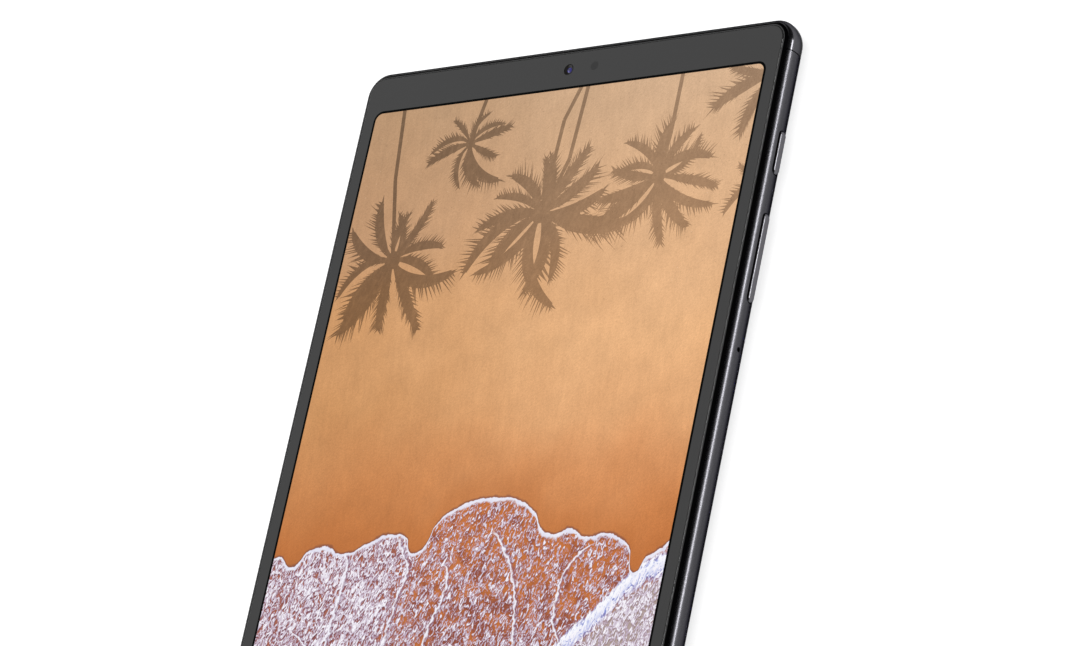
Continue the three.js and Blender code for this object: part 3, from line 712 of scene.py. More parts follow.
def closed_mesh(name, form):
    """The finished mesh of a form, with its doubles merged and its faces pointing out."""
    bmesh.ops.remove_doubles(form, verts=form.verts, dist=MERGE)
    bmesh.ops.dissolve_degenerate(form, edges=form.edges, dist=MERGE)
    bmesh.ops.recalc_face_normals(form, faces=form.faces)
    mesh = bpy.data.meshes.new(name)
    form.to_mesh(mesh)
    form.free()
    return mesh


def loft_mesh(name, rings, closed=False):
    """A solid through rings of points, with its ends filled unless the loft closes on itself."""
    form = bmesh.new()
    loops = add_wall(form, rings, closed)
    if not closed:
        form.faces.new(loops[0])
        form.faces.new(loops[-1])
    return closed_mesh(name, form)


def prism(outline, low, high, place=plan):
    return loft_mesh("prism", [[place(u, v, w) for u, v in outline] for w in (low, high)])


def block(low, high):
    (x0, y0, z0), (x1, y1, z1) = low, high
    return prism([(x0, y0), (x1, y0), (x1, y1), (x0, y1)], z0, z1)


def lathe(name, profile, centre, place=plan, steps=64, closed=False):
    """A turned piece from (radius, height) pairs, round a centre; a closed profile gives a ring."""
    rings = []
    for radius, height in profile:
        rings.append([place(u, v, height) for u, v in circle(radius, centre, steps)])
    return loft_mesh(name, rings, closed)


def round_plan(inset, height):
    """The body's outline pulled in by inset, at a height."""
    ring = rounded_ring(HALF_WIDTH - inset, HALF_LENGTH - inset, CORNER - inset)
    return [(x, y, height) for x, y in ring]


def boolean(mesh, tool, operation="DIFFERENCE"):
    """The mesh with the tool's solid taken from it, joined to it or kept of it."""
    holder = bpy.data.objects.new("holder", mesh)
    cutter = bpy.data.objects.new("cutter", tool)
    for item in (holder, cutter):
        bpy.context.scene.collection.objects.link(item)
    step = holder.modifiers.new("boolean", "BOOLEAN")
    step.operation = operation
    step.solver = "EXACT"
    step.object = cutter
    graph = bpy.context.evaluated_depsgraph_get()
    result = bpy.data.meshes.new_from_object(holder.evaluated_get(graph), depsgraph=graph)
    for item in (holder, cutter):
        bpy.data.objects.remove(item)
    return result


def carve(mesh, *tools):
    for tool in tools:
        mesh = boolean(mesh, tool)
    return mesh


def joined(name, *meshes):
    """Separate closed meshes as one."""
    form = bmesh.new()
    for mesh in meshes:
        form.from_mesh(mesh)
    mesh = bpy.data.meshes.new(name)
    form.to_mesh(mesh)
    form.free()
    return mesh


def piece(name, mesh, materials, body="casing", stands_for=(), sharp=35.0):
    """Adds a finished piece, which rides on a CAD body and stands for CAD nodes."""
    mesh.name = name
    for material in materials if isinstance(materials, list) else [materials]:
        if material.name not in mesh.materials:
            mesh.materials.append(material)
    mesh.shade_smooth()
    mesh.set_sharp_from_angle(angle=math.radians(sharp))
    made = bpy.data.objects.new(name, mesh)
    bpy.context.scene.collection.objects.link(made)
    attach(made, body)
    if stands_for:
        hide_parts(*stands_for)
    return made


# ---------- the shell ----------

def side_inset(height):
    """How far the outside of the body lies in from its widest point, at a height."""
    if height < BACK_EDGE:
        return BACK_EDGE - math.sqrt(BACK_EDGE ** 2 - (BACK_EDGE - height) ** 2)
    if height > FRONT_EDGE_CENTRE:
        return FRONT_EDGE - math.sqrt(FRONT_EDGE ** 2 - (height - FRONT_EDGE_CENTRE) ** 2)
    return 0.0


def from_outline(x, y):
    """How far a point lies in from the body's outline, and the way out to it from there."""
    reach_x = abs(x) - (HALF_WIDTH - CORNER)
    reach_y = abs(y) - (HALF_LENGTH - CORNER)
    if reach_x > 0 and reach_y > 0:
        outward = Vector((reach_x, reach_y, 0))
        inset = CORNER - outward.length
        outward.normalize()
    elif reach_x > reach_y:
        outward = Vector((1, 0, 0))
        inset = HALF_WIDTH - abs(x)
    else:
        outward = Vector((0, 1, 0))
        inset = HALF_LENGTH - abs(y)
    outward.x *= math.copysign(1, x)
    outward.y *= math.copysign(1, y)
    return inset, outward


def body_normal(point):
    """The direction that the body's outside faces at a point on it."""
    x, y, z = point
    inset, outward = from_outline(x, y)
    if z < BACK_EDGE:
        if inset > BACK_EDGE:
            return Vector((0, 0, -1))
        return (outward * (BACK_EDGE - inset) + Vector((0, 0, z - BACK_EDGE))).normalized()
    if z > FRONT_EDGE_CENTRE:
        rise = Vector((0, 0, z - FRONT_EDGE_CENTRE))
        return (outward * (FRONT_EDGE - inset) + rise).normalized()
    return outward


def smooth_outside(made):
    """Gives the body's outside its exact normals, however it has been cut."""
    mesh = made.data
    normals = [Vector((0, 0, 0))] * len(mesh.loops)
    for face in mesh.polygons:
        if face.normal.dot(body_normal(face.center)) < ON_OUTSIDE:
            continue
        for loop in face.loop_indices:
            normal = body_normal(mesh.vertices[mesh.loops[loop].vertex_index].co)
            if normal.dot(face.normal) > AT_OUTSIDE:
                normals[loop] = normal
    mesh.normals_split_custom_set(normals)


def lower_form(wall, floor, edge):
    """The solid form of the body's lower part, pulled in by a wall and a floor."""
    profile = arc((wall + edge, floor + edge), edge, 270, 180, EDGE_STEPS) + [(wall, FRONT)]
    return loft_mesh("form", [round_plan(inset, height) for inset, height in profile])


def outer_form(pull=0.0):
    return lower_form(pull, pull, BACK_EDGE - pull)


def inner_form(clearance):
    return lower_form(WALL + clearance, FLOOR + clearance, INNER_EDGE - clearance)


def tub():
    """The whole rear shell, before it is parted and cut."""
    top = math.degrees(math.asin((LIP - LIP_EDGE - FRONT_EDGE_CENTRE) / FRONT_EDGE))
    outside = arc((BACK_EDGE, BACK_EDGE), BACK_EDGE, 270, 180, EDGE_STEPS)
    outside += arc((FRONT_EDGE, FRONT_EDGE_CENTRE), FRONT_EDGE, 180, 180 - top, EDGE_STEPS)
    lip = [(side_inset(LIP) + LIP_EDGE, LIP), (WALL, LIP)]
    inner_centre = (WALL + INNER_EDGE, FLOOR + INNER_EDGE)
    inside = arc(inner_centre, INNER_EDGE, 180, 270, EDGE_STEPS // 2)
    return loft_mesh("tub", [round_plan(inset, height) for inset, height in outside + lip + inside])


def stadium(length, height, x, y, steps=12):
    return rounded_ring(length / 2, height / 2, height / 2 - STRAIGHT, steps, (x, y))


def centre_of(node):
    low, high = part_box(node)
    return (low + high) / 2


def key_window(node):
    """The cutter for the opening in the wall that a key comes through."""
    centre = centre_of(node)
    outline = stadium(
        KEY_LENGTHS[node] + 2 * KEY_GAP, KEY_HEIGHT + 2 * KEY_GAP, centre.y, centre.z)
    return prism(outline, *RIGHT_WALL, on_side)


def grille_cutters(speaker, wall):
    """The cutters for one row of grille slots, centred on the speaker behind them."""
    centre = centre_of(speaker)
    cutters = []
    for i in range(GRILLE["slots"]):
        x = centre.x + (i - (GRILLE["slots"] - 1) / 2) * GRILLE["pitch"]
        outline = stadium(GRILLE["length"], GRILLE["height"], x, GRILLE["z"], steps=8)
        cutters.append(prism(outline, *wall, on_end))
    return joined("grille_cutters", *cutters)


def make_back_shell(metal):
    """The metal shell, with its openings for the keys, the card, the ports and the camera."""
    microphone = (centre_of("side_microphone").y, MICROPHONE_HEIGHT)
    usb_outline = stadium(
        USB["width"] + 2 * USB["gap"], USB["height"] + 2 * USB["gap"], 0, USB["z"])
    card_outline = stadium(
        CARD_SLOT["length"] + 2 * CARD_GAP, CARD_SLOT["height"] + 2 * CARD_GAP,
        CARD_SLOT["y"], CARD_SLOT["z"])
    shell = carve(
        tub(),
        block((-BIG, SEAM[0], -BIG), (BIG, BIG, BIG)),
        key_window("power_key"),
        key_window("volume_key"),
        block(*KEY_BAY),
        prism(card_outline, *LEFT_WALL, on_side),
        block(*CARD_BAY),
        prism(circle(MICROPHONE_HOLE, microphone, 32), *RIGHT_WALL, on_side),
        prism(usb_outline, *BOTTOM_WALL, on_end),
        prism(circle(REAR_RING["outer"] + REAR_RING["gap"], REAR_CAMERA, 64), *BACK_WALL),
        grille_cutters("bottom_speaker", BOTTOM_WALL),
    )
    smooth_outside(piece("back_shell", shell, metal, stands_for=["rear_cover"]))


def make_end_cap(paint):
    """The plastic cap of the top end, with its openings for the headphones and the speaker."""
    cap = carve(
        tub(),
        block((-BIG, -BIG, -BIG), (BIG, SEAM[1], BIG)),
        prism(circle(JACK["hole"], (JACK["x"], JACK["z"])), *TOP_WALL, on_end),
        grille_cutters("top_speaker", TOP_WALL),
    )
    smooth_outside(piece("end_cap", cap, paint, stands_for=["antenna_cap"]))


# ---------- rim, glass and display ----------

def rim_ring():
    """The rim's own ring: a foot on the metal's lip, a round side and a flat up to the glass."""
    foot = side_inset(LIP) + LIP_LAND
    start = math.degrees(math.acos((FRONT_EDGE - foot) / FRONT_EDGE))
    end = math.degrees(math.acos((FRONT_EDGE - RIM_INSET + RIM_LAND) / FRONT_EDGE))
    side = arc(
        (FRONT_EDGE, FRONT_EDGE_CENTRE), FRONT_EDGE, 180 - start, 180 - end, RIM_STEPS)
    top = side[-1][1]
    profile = [
        (SKIRT_INSET, RIM_BOTTOM), (foot, RIM_BOTTOM), *side, (RIM_INSET - PAINTED_HIGHLIGHT_WIDTH, top),
        (RIM_INSET, top), (RIM_INSET, LEDGE), (SKIRT_INSET, LEDGE),
    ]
    return loft_mesh("rim", [round_plan(inset, height) for inset, height in profile], closed=True)


def make_rim(plastic, painted_highlight_plastic):
    """The black rim between the glass and the metal, on the lower part of its CAD solid, with a paler
    strip beside the glass as a painted highlight.
    """
    rim = rim_ring()
    for face in rim.polygons:
        inset, _ = from_outline(face.center.x, face.center.y)
        # the flat faces beside the glass take the paler finish: a painted highlight line
        if face.normal.z > LEVEL and inset > RIM_INSET - PAINTED_HIGHLIGHT_WIDTH:
            face.material_index = 1
    form = bmesh.new()
    form.from_mesh(frame["nodes"]["front_frame"].data)
    bmesh.ops.remove_doubles(form, verts=form.verts, dist=CAD_MERGE)
    skirt = bpy.data.meshes.new("skirt")
    form.to_mesh(skirt)
    form.free()
    skirt = boolean(skirt, block((-BIG, -BIG, LEDGE), (BIG, BIG, BIG)))
    piece(
        "glass_frame", joined("glass_frame", skirt, rim), [plastic, painted_highlight_plastic],
        stands_for=["front_frame"])


def fill_between(outline, openings=(), patches=()):
    """Triangles that fill an outline round its openings, with the patches each lies in."""
    loops = [outline, *openings, *patches]
    points, faces = [], []
    for loop in loops:
        faces.append(list(range(len(points), len(points) + len(loop))))
        points.extend(Vector(point) for point in loop)
    verts, _, tris, _, _, sources = delaunay_2d_cdt(
        points, [], faces, FILL_INSIDE, FILL_NEAR, True)
    kept = []
    holes = set(range(1, 1 + len(openings)))
    for tri, source in zip(tris, sources):
        if 0 in source and not holes.intersection(source):
            kept.append((tri, max(source) - len(openings)))
    return verts, kept


def make_glass(print_finish, margin_finish, sensor_finish):
    """The printed border of the cover glass, with openings for the picture and the camera."""
    top = GLASS_INSET + GLASS_EDGE
    outline = [point[:2] for point in round_plan(top, FRONT)]
    half_x, half_y = PICTURE
    picture = rounded_ring(half_x, half_y, PICTURE_CORNER, PICTURE_STEPS)
    margin = rounded_ring(
        half_x + MARGIN, half_y + MARGIN, PICTURE_CORNER + MARGIN, PICTURE_STEPS)
    camera = circle(CAMERA_RADIUS, FRONT_CAMERA)
    sensor = circle(SENSOR_RADIUS, LIGHT_SENSOR)
    form = bmesh.new()
    for height in (FRONT, GLASS_BACK):
        verts, tris = fill_between(outline, [picture, camera], [margin, sensor])
        made = [form.verts.new((x, y, height)) for x, y in verts]
        for tri, patch in tris:
            face = form.faces.new([made[i] for i in tri])
            face.material_index = max(patch, 0)
    edge = arc((top, FRONT - GLASS_EDGE), GLASS_EDGE, 90, 180, 6)
    rings = [round_plan(inset, height) for inset, height in edge]
    rings += [round_plan(GLASS_INSET, GLASS_BACK + GLASS_EDGE), round_plan(top, GLASS_BACK)]
    add_wall(form, rings)
    add_wall(form, [[(x, y, z) for x, y in picture] for z in (FRONT, GLASS_BACK)])
    add_wall(form, [[(x, y, z) for x, y in camera] for z in (FRONT, GLASS_BACK)])
    made = piece(
        "cover_glass_border", closed_mesh("border", form),
        [print_finish, margin_finish, sensor_finish],
        stands_for=["cover_glass"], sharp=50)
    flat_faces_flat(made)


def flat_faces_flat(made):
    """Keeps the flat front exactly flat in its shading, up to the start of its rounded edge."""
    mesh = made.data
    normals = [Vector((0, 0, 0))] * len(mesh.loops)
    for face in mesh.polygons:
        if abs(face.normal.z) > LEVEL:
            for loop in face.loop_indices:
                normals[loop] = Vector((0, 0, math.copysign(1, face.normal.z)))
    mesh.normals_split_custom_set(normals)


def anticlockwise(shape):
    area = sum(a.cross(b) for a, b in zip(shape, shape[1:] + shape[:1]))
    return shape if area > 0 else shape[::-1]


def frond(crown, heading, reach, draw):
    """The outlines of one palm frond: a thin stalk, a solid middle and ragged leaflets."""
    bend = draw.uniform(-0.9, 0.9)
    stalk = draw.uniform(0.12, 0.24)
    half_width = reach * draw.uniform(0.12, 0.19)
    leaves = 6 + int(reach)
    shapes = []
    previous, previous_half = crown, 0.22
    for i in range(leaves):
        share = stalk + (1 - stalk) * (i + 0.5) / leaves
        angle = heading + bend * (share - 0.5)
        along = Vector((math.cos(angle), math.sin(angle)))
        base = crown + along * reach * share
        side = Vector((-along.y, along.x))
        fullness = math.sin(math.pi * (0.1 + 0.86 * (i + 0.5) / leaves)) ** 0.55
        half = half_width * fullness
        for hand in (-1, 1):
            swing = draw.uniform(0.42, 0.72)
            out = along * math.cos(swing) + side * hand * math.sin(swing)
            length = half / math.sin(swing) * draw.uniform(0.75, 1.15)
            width = reach / leaves * 0.95
            shapes.append([base - along * width, base + along * width * 0.6, base + out * length])
        middle = half * 0.5
        cross = (base - previous).orthogonal().normalized()
        shapes.append([
            previous - cross * previous_half, previous + cross * previous_half,
            base + cross * middle, base - cross * middle])
        previous, previous_half = base, middle
    return [anticlockwise(shape) for shape in shapes]


def palm_shapes():
    """Outlines of the palms' shade, in millimetres: crowns, fronds and trunks."""
    draw = random.Random(11)
    shapes = []
    for x, y, reach, count in PALMS:
        crown = Vector((x, y))
        shapes.append([crown + Vector(point) for point in circle(reach * 0.12, steps=11)])
        start = draw.uniform(0, 1)
        for i in range(count):
            heading = (i + start + draw.uniform(-0.3, 0.3)) * 2 * math.pi / count
            longer = 1 - 0.2 * math.sin(heading)
            shapes += frond(crown, heading, reach * longer * draw.uniform(0.7, 1.08), draw)
    for line in TRUNKS:
        line = [Vector(point) for point in line]
        for near, far in zip(line, line[1:]):
            side = (far - near).orthogonal().normalized() * 0.55
            shapes.append(anticlockwise([near - side, near + side, far + side, far - side]))
    return shapes


def make_display(picture):
    """The lit display, level with the glass, its front parted where the palms' shade lies."""
    half_x, half_y = (half - HAIR for half in PICTURE)
    outline = rounded_ring(half_x, half_y, PICTURE_CORNER - HAIR, PICTURE_STEPS)
    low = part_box("display_panel")[0].z
    shapes = [[point * MM for point in shape] for shape in palm_shapes()]
    form = bmesh.new()
    shade = form.faces.layers.float.new("palm_shade")
    verts, tris = fill_between(outline, patches=shapes)
    used = {i for tri, _ in tris for i in tri}
    made = {i: form.verts.new((verts[i].x, verts[i].y, FRONT)) for i in used}
    for tri, patch in tris:
        face = form.faces.new([made[i] for i in tri])
        face[shade] = 1.0 if patch > 0 else 0.0
    rim = [edge for edge in form.edges if edge.is_boundary]
    walls = bmesh.ops.extrude_edge_only(form, edges=rim)["geom"]
    for vert in walls:
        if isinstance(vert, bmesh.types.BMVert):
            vert.co.z = low
    foot = [edge for edge in walls if isinstance(edge, bmesh.types.BMEdge) and edge.is_boundary]
    bmesh.ops.edgeloop_fill(form, edges=foot)
    made = piece(
        "lit_display", closed_mesh("display", form), picture,
        stands_for=["display_panel"])
    flat_faces_flat(made)


# ---------- keys, camera and sensor ----------

def make_key(node, metal):
    """A key with a crowned, rounded cap and the flange that keeps it in the wall."""
    middle = centre_of(node)
    centre = (middle.y, middle.z)
    half_length, half_height = KEY_LENGTHS[node] / 2, KEY_HEIGHT / 2
    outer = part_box(node)[1].x
    flange = rounded_ring(
        half_length + KEY_FLANGE["past_end"], KEY_FLANGE["half_height"], KEY_FLANGE["corner"],
        KEY_STEPS, centre)
    rings = [
        [on_side(u, v, w) for u, v in flange] for w in (KEY_FLANGE["back"], KEY_FLANGE["front"])]
    edge = arc((KEY_EDGE, outer - KEY_EDGE), KEY_EDGE, 180, 90, 8)
    profile = [(0.0, KEY_FLANGE["front"]), (0.0, outer - KEY_EDGE), *edge]
    profile.append((half_height - KEY_RIDGE, outer))
    for inset, out in profile:
        ring = rounded_ring(
            half_length - inset, half_height - inset, half_height - inset - STRAIGHT, KEY_STEPS,
            centre)
        rings.append([on_side(u, v, out) for u, v in ring])
    piece(node + "_cap", loft_mesh(node, rings), metal, node, [node], sharp=40)


def make_front_camera(barrel_finish, lens_finish):
    """The camera below the glass: a housing, a conical black barrel and a domed lens."""
    floor = CAMERA_BASE + CAMERA_HOUSING["floor"]
    steps = [(radius * MM, FRONT - depth * MM) for radius, depth in BARREL]
    barrel = lathe("barrel", [(0, floor), (steps[0][0], floor), *steps], FRONT_CAMERA)
    outline = rounded_ring(
        CAMERA_HOUSING["half"], CAMERA_HOUSING["half"], CAMERA_HOUSING["corner"], 6, FRONT_CAMERA)
    housing = prism(outline, CAMERA_BASE, CAMERA_HOUSING["top"])
    body = boolean(housing, barrel, "UNION")
    piece("front_camera_barrel", body, barrel_finish, stands_for=["front_camera"])

    back = FRONT - FRONT_LENS["back"]
    dome = arc(
        (0, FRONT - FRONT_LENS["centre"]), FRONT_LENS["curve"], 90, FRONT_LENS["edge_angle"], 10)
    lens = [(0, back), (FRONT_LENS["radius"], back), *reversed(dome)]
    piece("front_camera_lens", lathe("lens", lens, FRONT_CAMERA), lens_finish)


def make_microphone_felt(felt):
    """The disc of felt between the microphone and the hole that it hears through."""
    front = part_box("microphone_gasket")[0].x - HAIR
    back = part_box("side_microphone")[1].x + HAIR
    middle = centre_of("microphone_gasket")
    profile = [(0, back), (FELT_RADIUS, back), (FELT_RADIUS, front), (0, front)]
    mesh = lathe("felt", profile, (middle.y, middle.z), on_side, steps=32)
    piece("microphone_felt", mesh, felt)


def make_rear_camera(metal, black, barrel_finish, glass):
    """The ring in the back, with the black window in it and the lens in the window's middle."""
    outer, inner, flange, top, edge = (
        REAR_RING[size] for size in ("outer", "inner", "flange", "top", "edge"))
    step = FLOOR + REAR_RING["gap"]
    profile = arc((inner + edge, edge), edge, 180, 270, 5)
    profile += arc((outer - edge, edge), edge, 270, 360, 5)
    profile += [(outer, step), (flange, step), (flange, top), (inner, top)]
    bezel = rear_ring("bezel", profile)
    piece("rear_camera_bezel", bezel, metal, stands_for=["rear_camera_ring"], sharp=40)

    rim, hole = inner - REAR_WINDOW["gap"], REAR_WINDOW["hole"]
    back, bevel = REAR_WINDOW["back"], REAR_WINDOW["bevel"]
    window = rear_ring("window", [
        (rim, FLOOR), (hole, FLOOR), (hole, back + bevel), (hole + bevel, back),
        (rim - bevel, back), (rim, back + bevel),
    ])
    piece("rear_camera_cover", window, black, stands_for=["rear_camera_window"], sharp=30)

    barrel = rear_ring("steps", [(radius * MM, height * MM) for radius, height in REAR_STEPS])
    piece("rear_camera_barrel", barrel, barrel_finish, sharp=30)

    base = REAR_LENS["base"]
    dome = arc((0, REAR_LENS["centre"]), REAR_LENS["curve"], 270, REAR_LENS["edge_angle"], 10)
    dome += [(dome[-1][0], base), (0, base)]
    piece("rear_camera_lens", lathe("lens", dome, REAR_CAMERA), glass, sharp=50)


def rear_ring(name, profile):
    return lathe(name, profile, REAR_CAMERA, steps=96, closed=True)


def make_card_tray(metal):
    """The tray: a head that fills the slot in the wall, a plate with a card bay, an eject hole."""
    y, z = CARD_SLOT["y"], CARD_SLOT["z"]
    left, right = CARD_PLATE["left"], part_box("card_tray")[1].x
    half, half_thick = CARD_PLATE["half"], CARD_PLATE["half_thick"]
    slot = stadium(CARD_SLOT["length"], CARD_SLOT["height"], y, z)
    head = boolean(prism(slot, LEFT_WALL[0], left, on_side), outer_form(), "INTERSECT")
    plate = block(
        (left - CARD_PLATE["overlap"], y - half, z - half_thick), (right, y + half, z + half_thick))
    bay_right = right - CARD_RECESS["from_end"]
    bay_centre = ((CARD_RECESS["left"] + bay_right) / 2, y)
    bay_half = (bay_right - CARD_RECESS["left"]) / 2
    bay = rounded_ring(
        bay_half, half - CARD_RECESS["border"], CARD_RECESS["corner"], 8, bay_centre)
    opening = rounded_ring(
        bay_half - CARD_OPENING["from_ends"], half - CARD_OPENING["from_sides"],
        CARD_OPENING["corner"], 8, bay_centre)
    eject_y = y + CARD_SLOT["length"] / 2 - EJECT_HOLE["from_end"]
    eject = circle(EJECT_HOLE["radius"], (eject_y, z), 32)
    tray = carve(
        boolean(head, plate, "UNION"),
        prism(bay, z - CARD_RECESS["depth"], z + PAST),
        prism(opening, z - PAST, z + PAST),
        prism(eject, *LEFT_WALL, on_side),
    )
    made = piece("card_holder", tray, metal, "card_tray", ["card_tray"], sharp=30)
    smooth_outside(made)


def make_usb(steel, black, gold):
    """The receptacle's stadium-shaped shell, its tongue and the contacts on both sides of it."""
    low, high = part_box("usb_c_receptacle")
    mouth, back = low.y - USB["past_mouth"], high.y
    width, height, z, wall = (USB[size] for size in ("width", "height", "z", "wall"))
    outline = stadium(width, height, 0, z, 16)
    hollow = stadium(width - 2 * wall, height - 2 * wall, 0, z, 16)
    shell = carve(
        prism(outline, mouth, back, on_end), prism(hollow, mouth - MM, back - wall, on_end))
    shell = boolean(shell, outer_form(USB["recess"]), "INTERSECT")
    piece("usb_shell", shell, steel, stands_for=["usb_c_receptacle"], sharp=30)

    tip, root = low.y + USB_TONGUE["set_back"], back - wall + HAIR
    piece("usb_tongue", usb_tongue(tip, root), black, sharp=30)
    piece("usb_contacts", usb_contacts(tip, gold), gold, sharp=30)


def usb_tongue(tip, root):
    """The tongue: a bevelled tip, a flat blade and a thicker root."""
    bevel = USB_TONGUE["bevel"]
    blade_end = root - USB_TONGUE["root"]
    wider, thicker = USB_TONGUE["root_wider"], USB_TONGUE["root_thicker"]
    rings = []
    for more_width, more_height, out in (
            (-bevel, -bevel, tip), (0.0, 0.0, tip + USB_TONGUE["slope"]), (0.0, 0.0, blade_end),
            (wider, thicker, blade_end), (wider, thicker, root - 2 * HAIR)):
        ring = rounded_ring(
            USB_TONGUE["half_width"] + more_width, USB_TONGUE["half_thick"] + more_height,
            USB_TONGUE["corner"], 4, (0, USB["z"]))
        rings.append([on_end(u, v, out) for u, v in ring])
    return loft_mesh("tongue", rings)


def usb_contacts(tip, gold):
    """A row of contact strips on each side of the tongue."""
    growth = Growth("contact_rows", {**USB_CONTACTS, "Material": gold})
    row = growth.node("GeometryNodeMeshLine", inputs={
        "Count": growth.given("Count"), "Offset": vector_of(growth, growth.given("Pitch"), 0.0, 0.0)})
    strip = growth.node("GeometryNodeMeshCube", inputs={"Size": vector_of(
        growth, growth.given("Width"), growth.given("Length"), growth.given("Thickness"))})
    strips = growth.node("GeometryNodeInstanceOnPoints", inputs={"Points": row, "Instance": strip})
    seats = growth.node("GeometryNodeInstanceOnPoints", inputs={
        "Points": growth.given("Geometry"), "Instance": strips})
    first = -(USB_CONTACTS["Count"] - 1) / 2 * USB_CONTACTS["Pitch"]
    middle = tip + USB_CONTACTS_START + USB_CONTACTS["Length"] / 2
    thick = USB_TONGUE["half_thick"]
    places = [(first, middle, USB["z"] + side * thick) for side in (-1, 1)]
    return growth.grow(seats, points_mesh(places))


def vector_of(network, *parts):
    return network.node("ShaderNodeCombineXYZ", inputs=list(parts))


def points_mesh(places):
    """A mesh of bare points, on which geometry nodes place their instances."""
    mesh = bpy.data.meshes.new("places")
    mesh.from_pydata(places, [], [])
    return mesh


def make_jack(black, gold):
    """The headphone socket behind its hole in the end cap, with three contact springs."""
    x, z, bore, half = (JACK[size] for size in ("x", "z", "bore", "half"))
    low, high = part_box("headphone_jack")
    housing = block((x - half, JACK["front"], low.z), (x + half, high.y, high.z))
    tube = circle(bore + JACK["wall"], (x, z))
    housing = boolean(housing, prism(tube, low.y, JACK["front"] + MM, on_end), "UNION")
    hole = circle(bore, (x, z), 64)
    housing = carve(housing, prism(hole, low.y + JACK["end"], HALF_LENGTH, on_end))
    housing = boolean(housing, inner_form(JACK["gap"]), "INTERSECT")
    piece("audio_socket", housing, black, stands_for=["headphone_jack"], sharp=30)
    deep, mouth = low.y + JACK_SPRING_ENDS[0], high.y - JACK_SPRING_ENDS[1]
    piece("audio_contacts", jack_springs(deep, mouth, gold), gold, sharp=30)


def jack_springs(deep, mouth, gold):
    """The contact springs that lie along the bore, evenly round it."""
    sizes = {**JACK_SPRINGS, "Length": mouth - deep, "Material": gold}
    growth = Growth("contact_springs", sizes)
    ring = growth.node("GeometryNodeMeshCircle", inputs={
        "Vertices": growth.given("Count"), "Radius": growth.given("Radius")})
    leaf = growth.node("GeometryNodeMeshCube", inputs={"Size": vector_of(
        growth, growth.given("Thickness"), growth.given("Width"), growth.given("Length"))})
    spot = growth.node("GeometryNodeInputPosition")
    turn = growth.node("FunctionNodeAlignRotationToVector", {"axis": "X"}, {"Vector": spot})
    leaves = growth.node("GeometryNodeInstanceOnPoints", inputs={
        "Points": ring, "Instance": leaf, "Rotation": turn})
    x, z = JACK["x"], JACK["z"]
    lying = growth.node("GeometryNodeTransform", inputs={
        "Geometry": leaves, "Rotation": (QUARTER, 0.0, 0.0),
        "Translation": (x, (deep + mouth) / 2, z)})
    return growth.grow(lying, points_mesh([(x, mouth, z)]))


def woven_wires(width, height, steel):
    """A woven screen in X and Z round the origin: two sets of waved wires that cross."""
    growth = Growth("woven_wires", {
        "Width": width, "Height": height, "Pitch": WIRES["pitch"], "Radius": WIRES["radius"],
        "Material": steel})
    pitch_in, radius_in = growth.given("Pitch"), growth.given("Radius")
    sets = []
    for length, across, turn in (("Width", "Height", 0.0), ("Height", "Width", QUARTER)):
        steps = (growth.given(length) / pitch_in) * WIRE_STEPS
        line = growth.node("GeometryNodeCurvePrimitiveLine", inputs={
            "Start": vector_of(growth, growth.given(length) * -0.5, 0.0, 0.0),
            "End": vector_of(growth, growth.given(length) * 0.5, 0.0, 0.0)})
        line = growth.node("GeometryNodeResampleCurve", inputs={"Curve": line, "Count": steps})
        spot = growth.node("GeometryNodeInputPosition")
        along = growth.node("ShaderNodeSeparateXYZ", inputs=[spot])
        wave = (along / pitch_in * math.pi).math("SINE") * radius_in * WIRE_WAVE
        line = growth.node("GeometryNodeSetPosition", inputs={
            "Geometry": line, "Offset": vector_of(growth, 0.0, wave, 0.0)})
        outline = growth.node("GeometryNodeCurvePrimitiveCircle", inputs={
            "Resolution": WIRE_SIDES, "Radius": radius_in})
        wire = growth.node("GeometryNodeCurveToMesh", inputs={
            "Curve": line, "Profile Curve": outline, "Fill Caps": True})
        count = growth.given(across) / pitch_in
        start = growth.given(across) * -0.5 + pitch_in * 0.5
        row = growth.node("GeometryNodeMeshLine", inputs={
            "Count": count, "Start Location": vector_of(growth, 0.0, 0.0, start),
            "Offset": vector_of(growth, 0.0, 0.0, pitch_in)})
        index = growth.node("GeometryNodeInputIndex")
        flip = index.math("MODULO", 2.0) * math.pi
        wires = growth.node("GeometryNodeInstanceOnPoints", inputs={
            "Points": row, "Instance": wire, "Rotation": vector_of(growth, flip, 0.0, 0.0)})
        sets.append(growth.node("GeometryNodeTransform", inputs={
            "Geometry": wires, "Rotation": (0.0, turn, 0.0)}))
    woven = growth.node("GeometryNodeJoinGeometry")
    join = woven.socket.node
    for wires in sets:
        growth.tree.links.new(wires.socket, join.inputs[0])
    return growth.grow(woven, points_mesh([(0, 0, 0)]))


def make_speaker_mesh(name, node, way, steel):
    """The woven screen behind one row of grille slots; way is 1 at the top end and -1 below."""
    low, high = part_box(node)
    bottom = WIRES["bottom"]
    mesh = woven_wires(high.x - low.x, high.z - bottom, steel)
    near = min(abs(low.y), abs(high.y)) + WIRES["gap"]
    mesh.transform(Matrix.Translation(((low.x + high.x) / 2, way * near, (bottom + high.z) / 2)))
    piece(name, mesh, steel, stands_for=[node], sharp=50)


def screw_mesh(depth):
    """One cross-headed screw, its head's top at the origin and its tip at depth."""
    head, head_depth, shank, core = (
        SCREW[size] for size in ("head", "head_depth", "shank", "core"))
    profile = [(share * head, down * MM) for share, down in SCREW_CROWN]
    profile += [(head, head_depth), (shank, head_depth)]
    turns = int((depth - head_depth) / THREAD["pitch"]) - 1
    for i in range(turns):
        start = head_depth + (i + THREAD["start"]) * THREAD["pitch"]
        profile += [(core, start), (core, start + THREAD["rise"]), (shank, start + THREAD["crest"])]
    profile += [(core, depth - SCREW_TIP), (0, depth)]
    body = lathe("screw", profile, (0.0, 0.0), steps=32)
    long, wide, deep = (CROSS[size] for size in ("half_length", "half_width", "depth"))
    return carve(
        body, block((-long, -wide, -MM), (long, wide, deep)),
        block((-wide, -long, -MM), (wide, long, deep)))


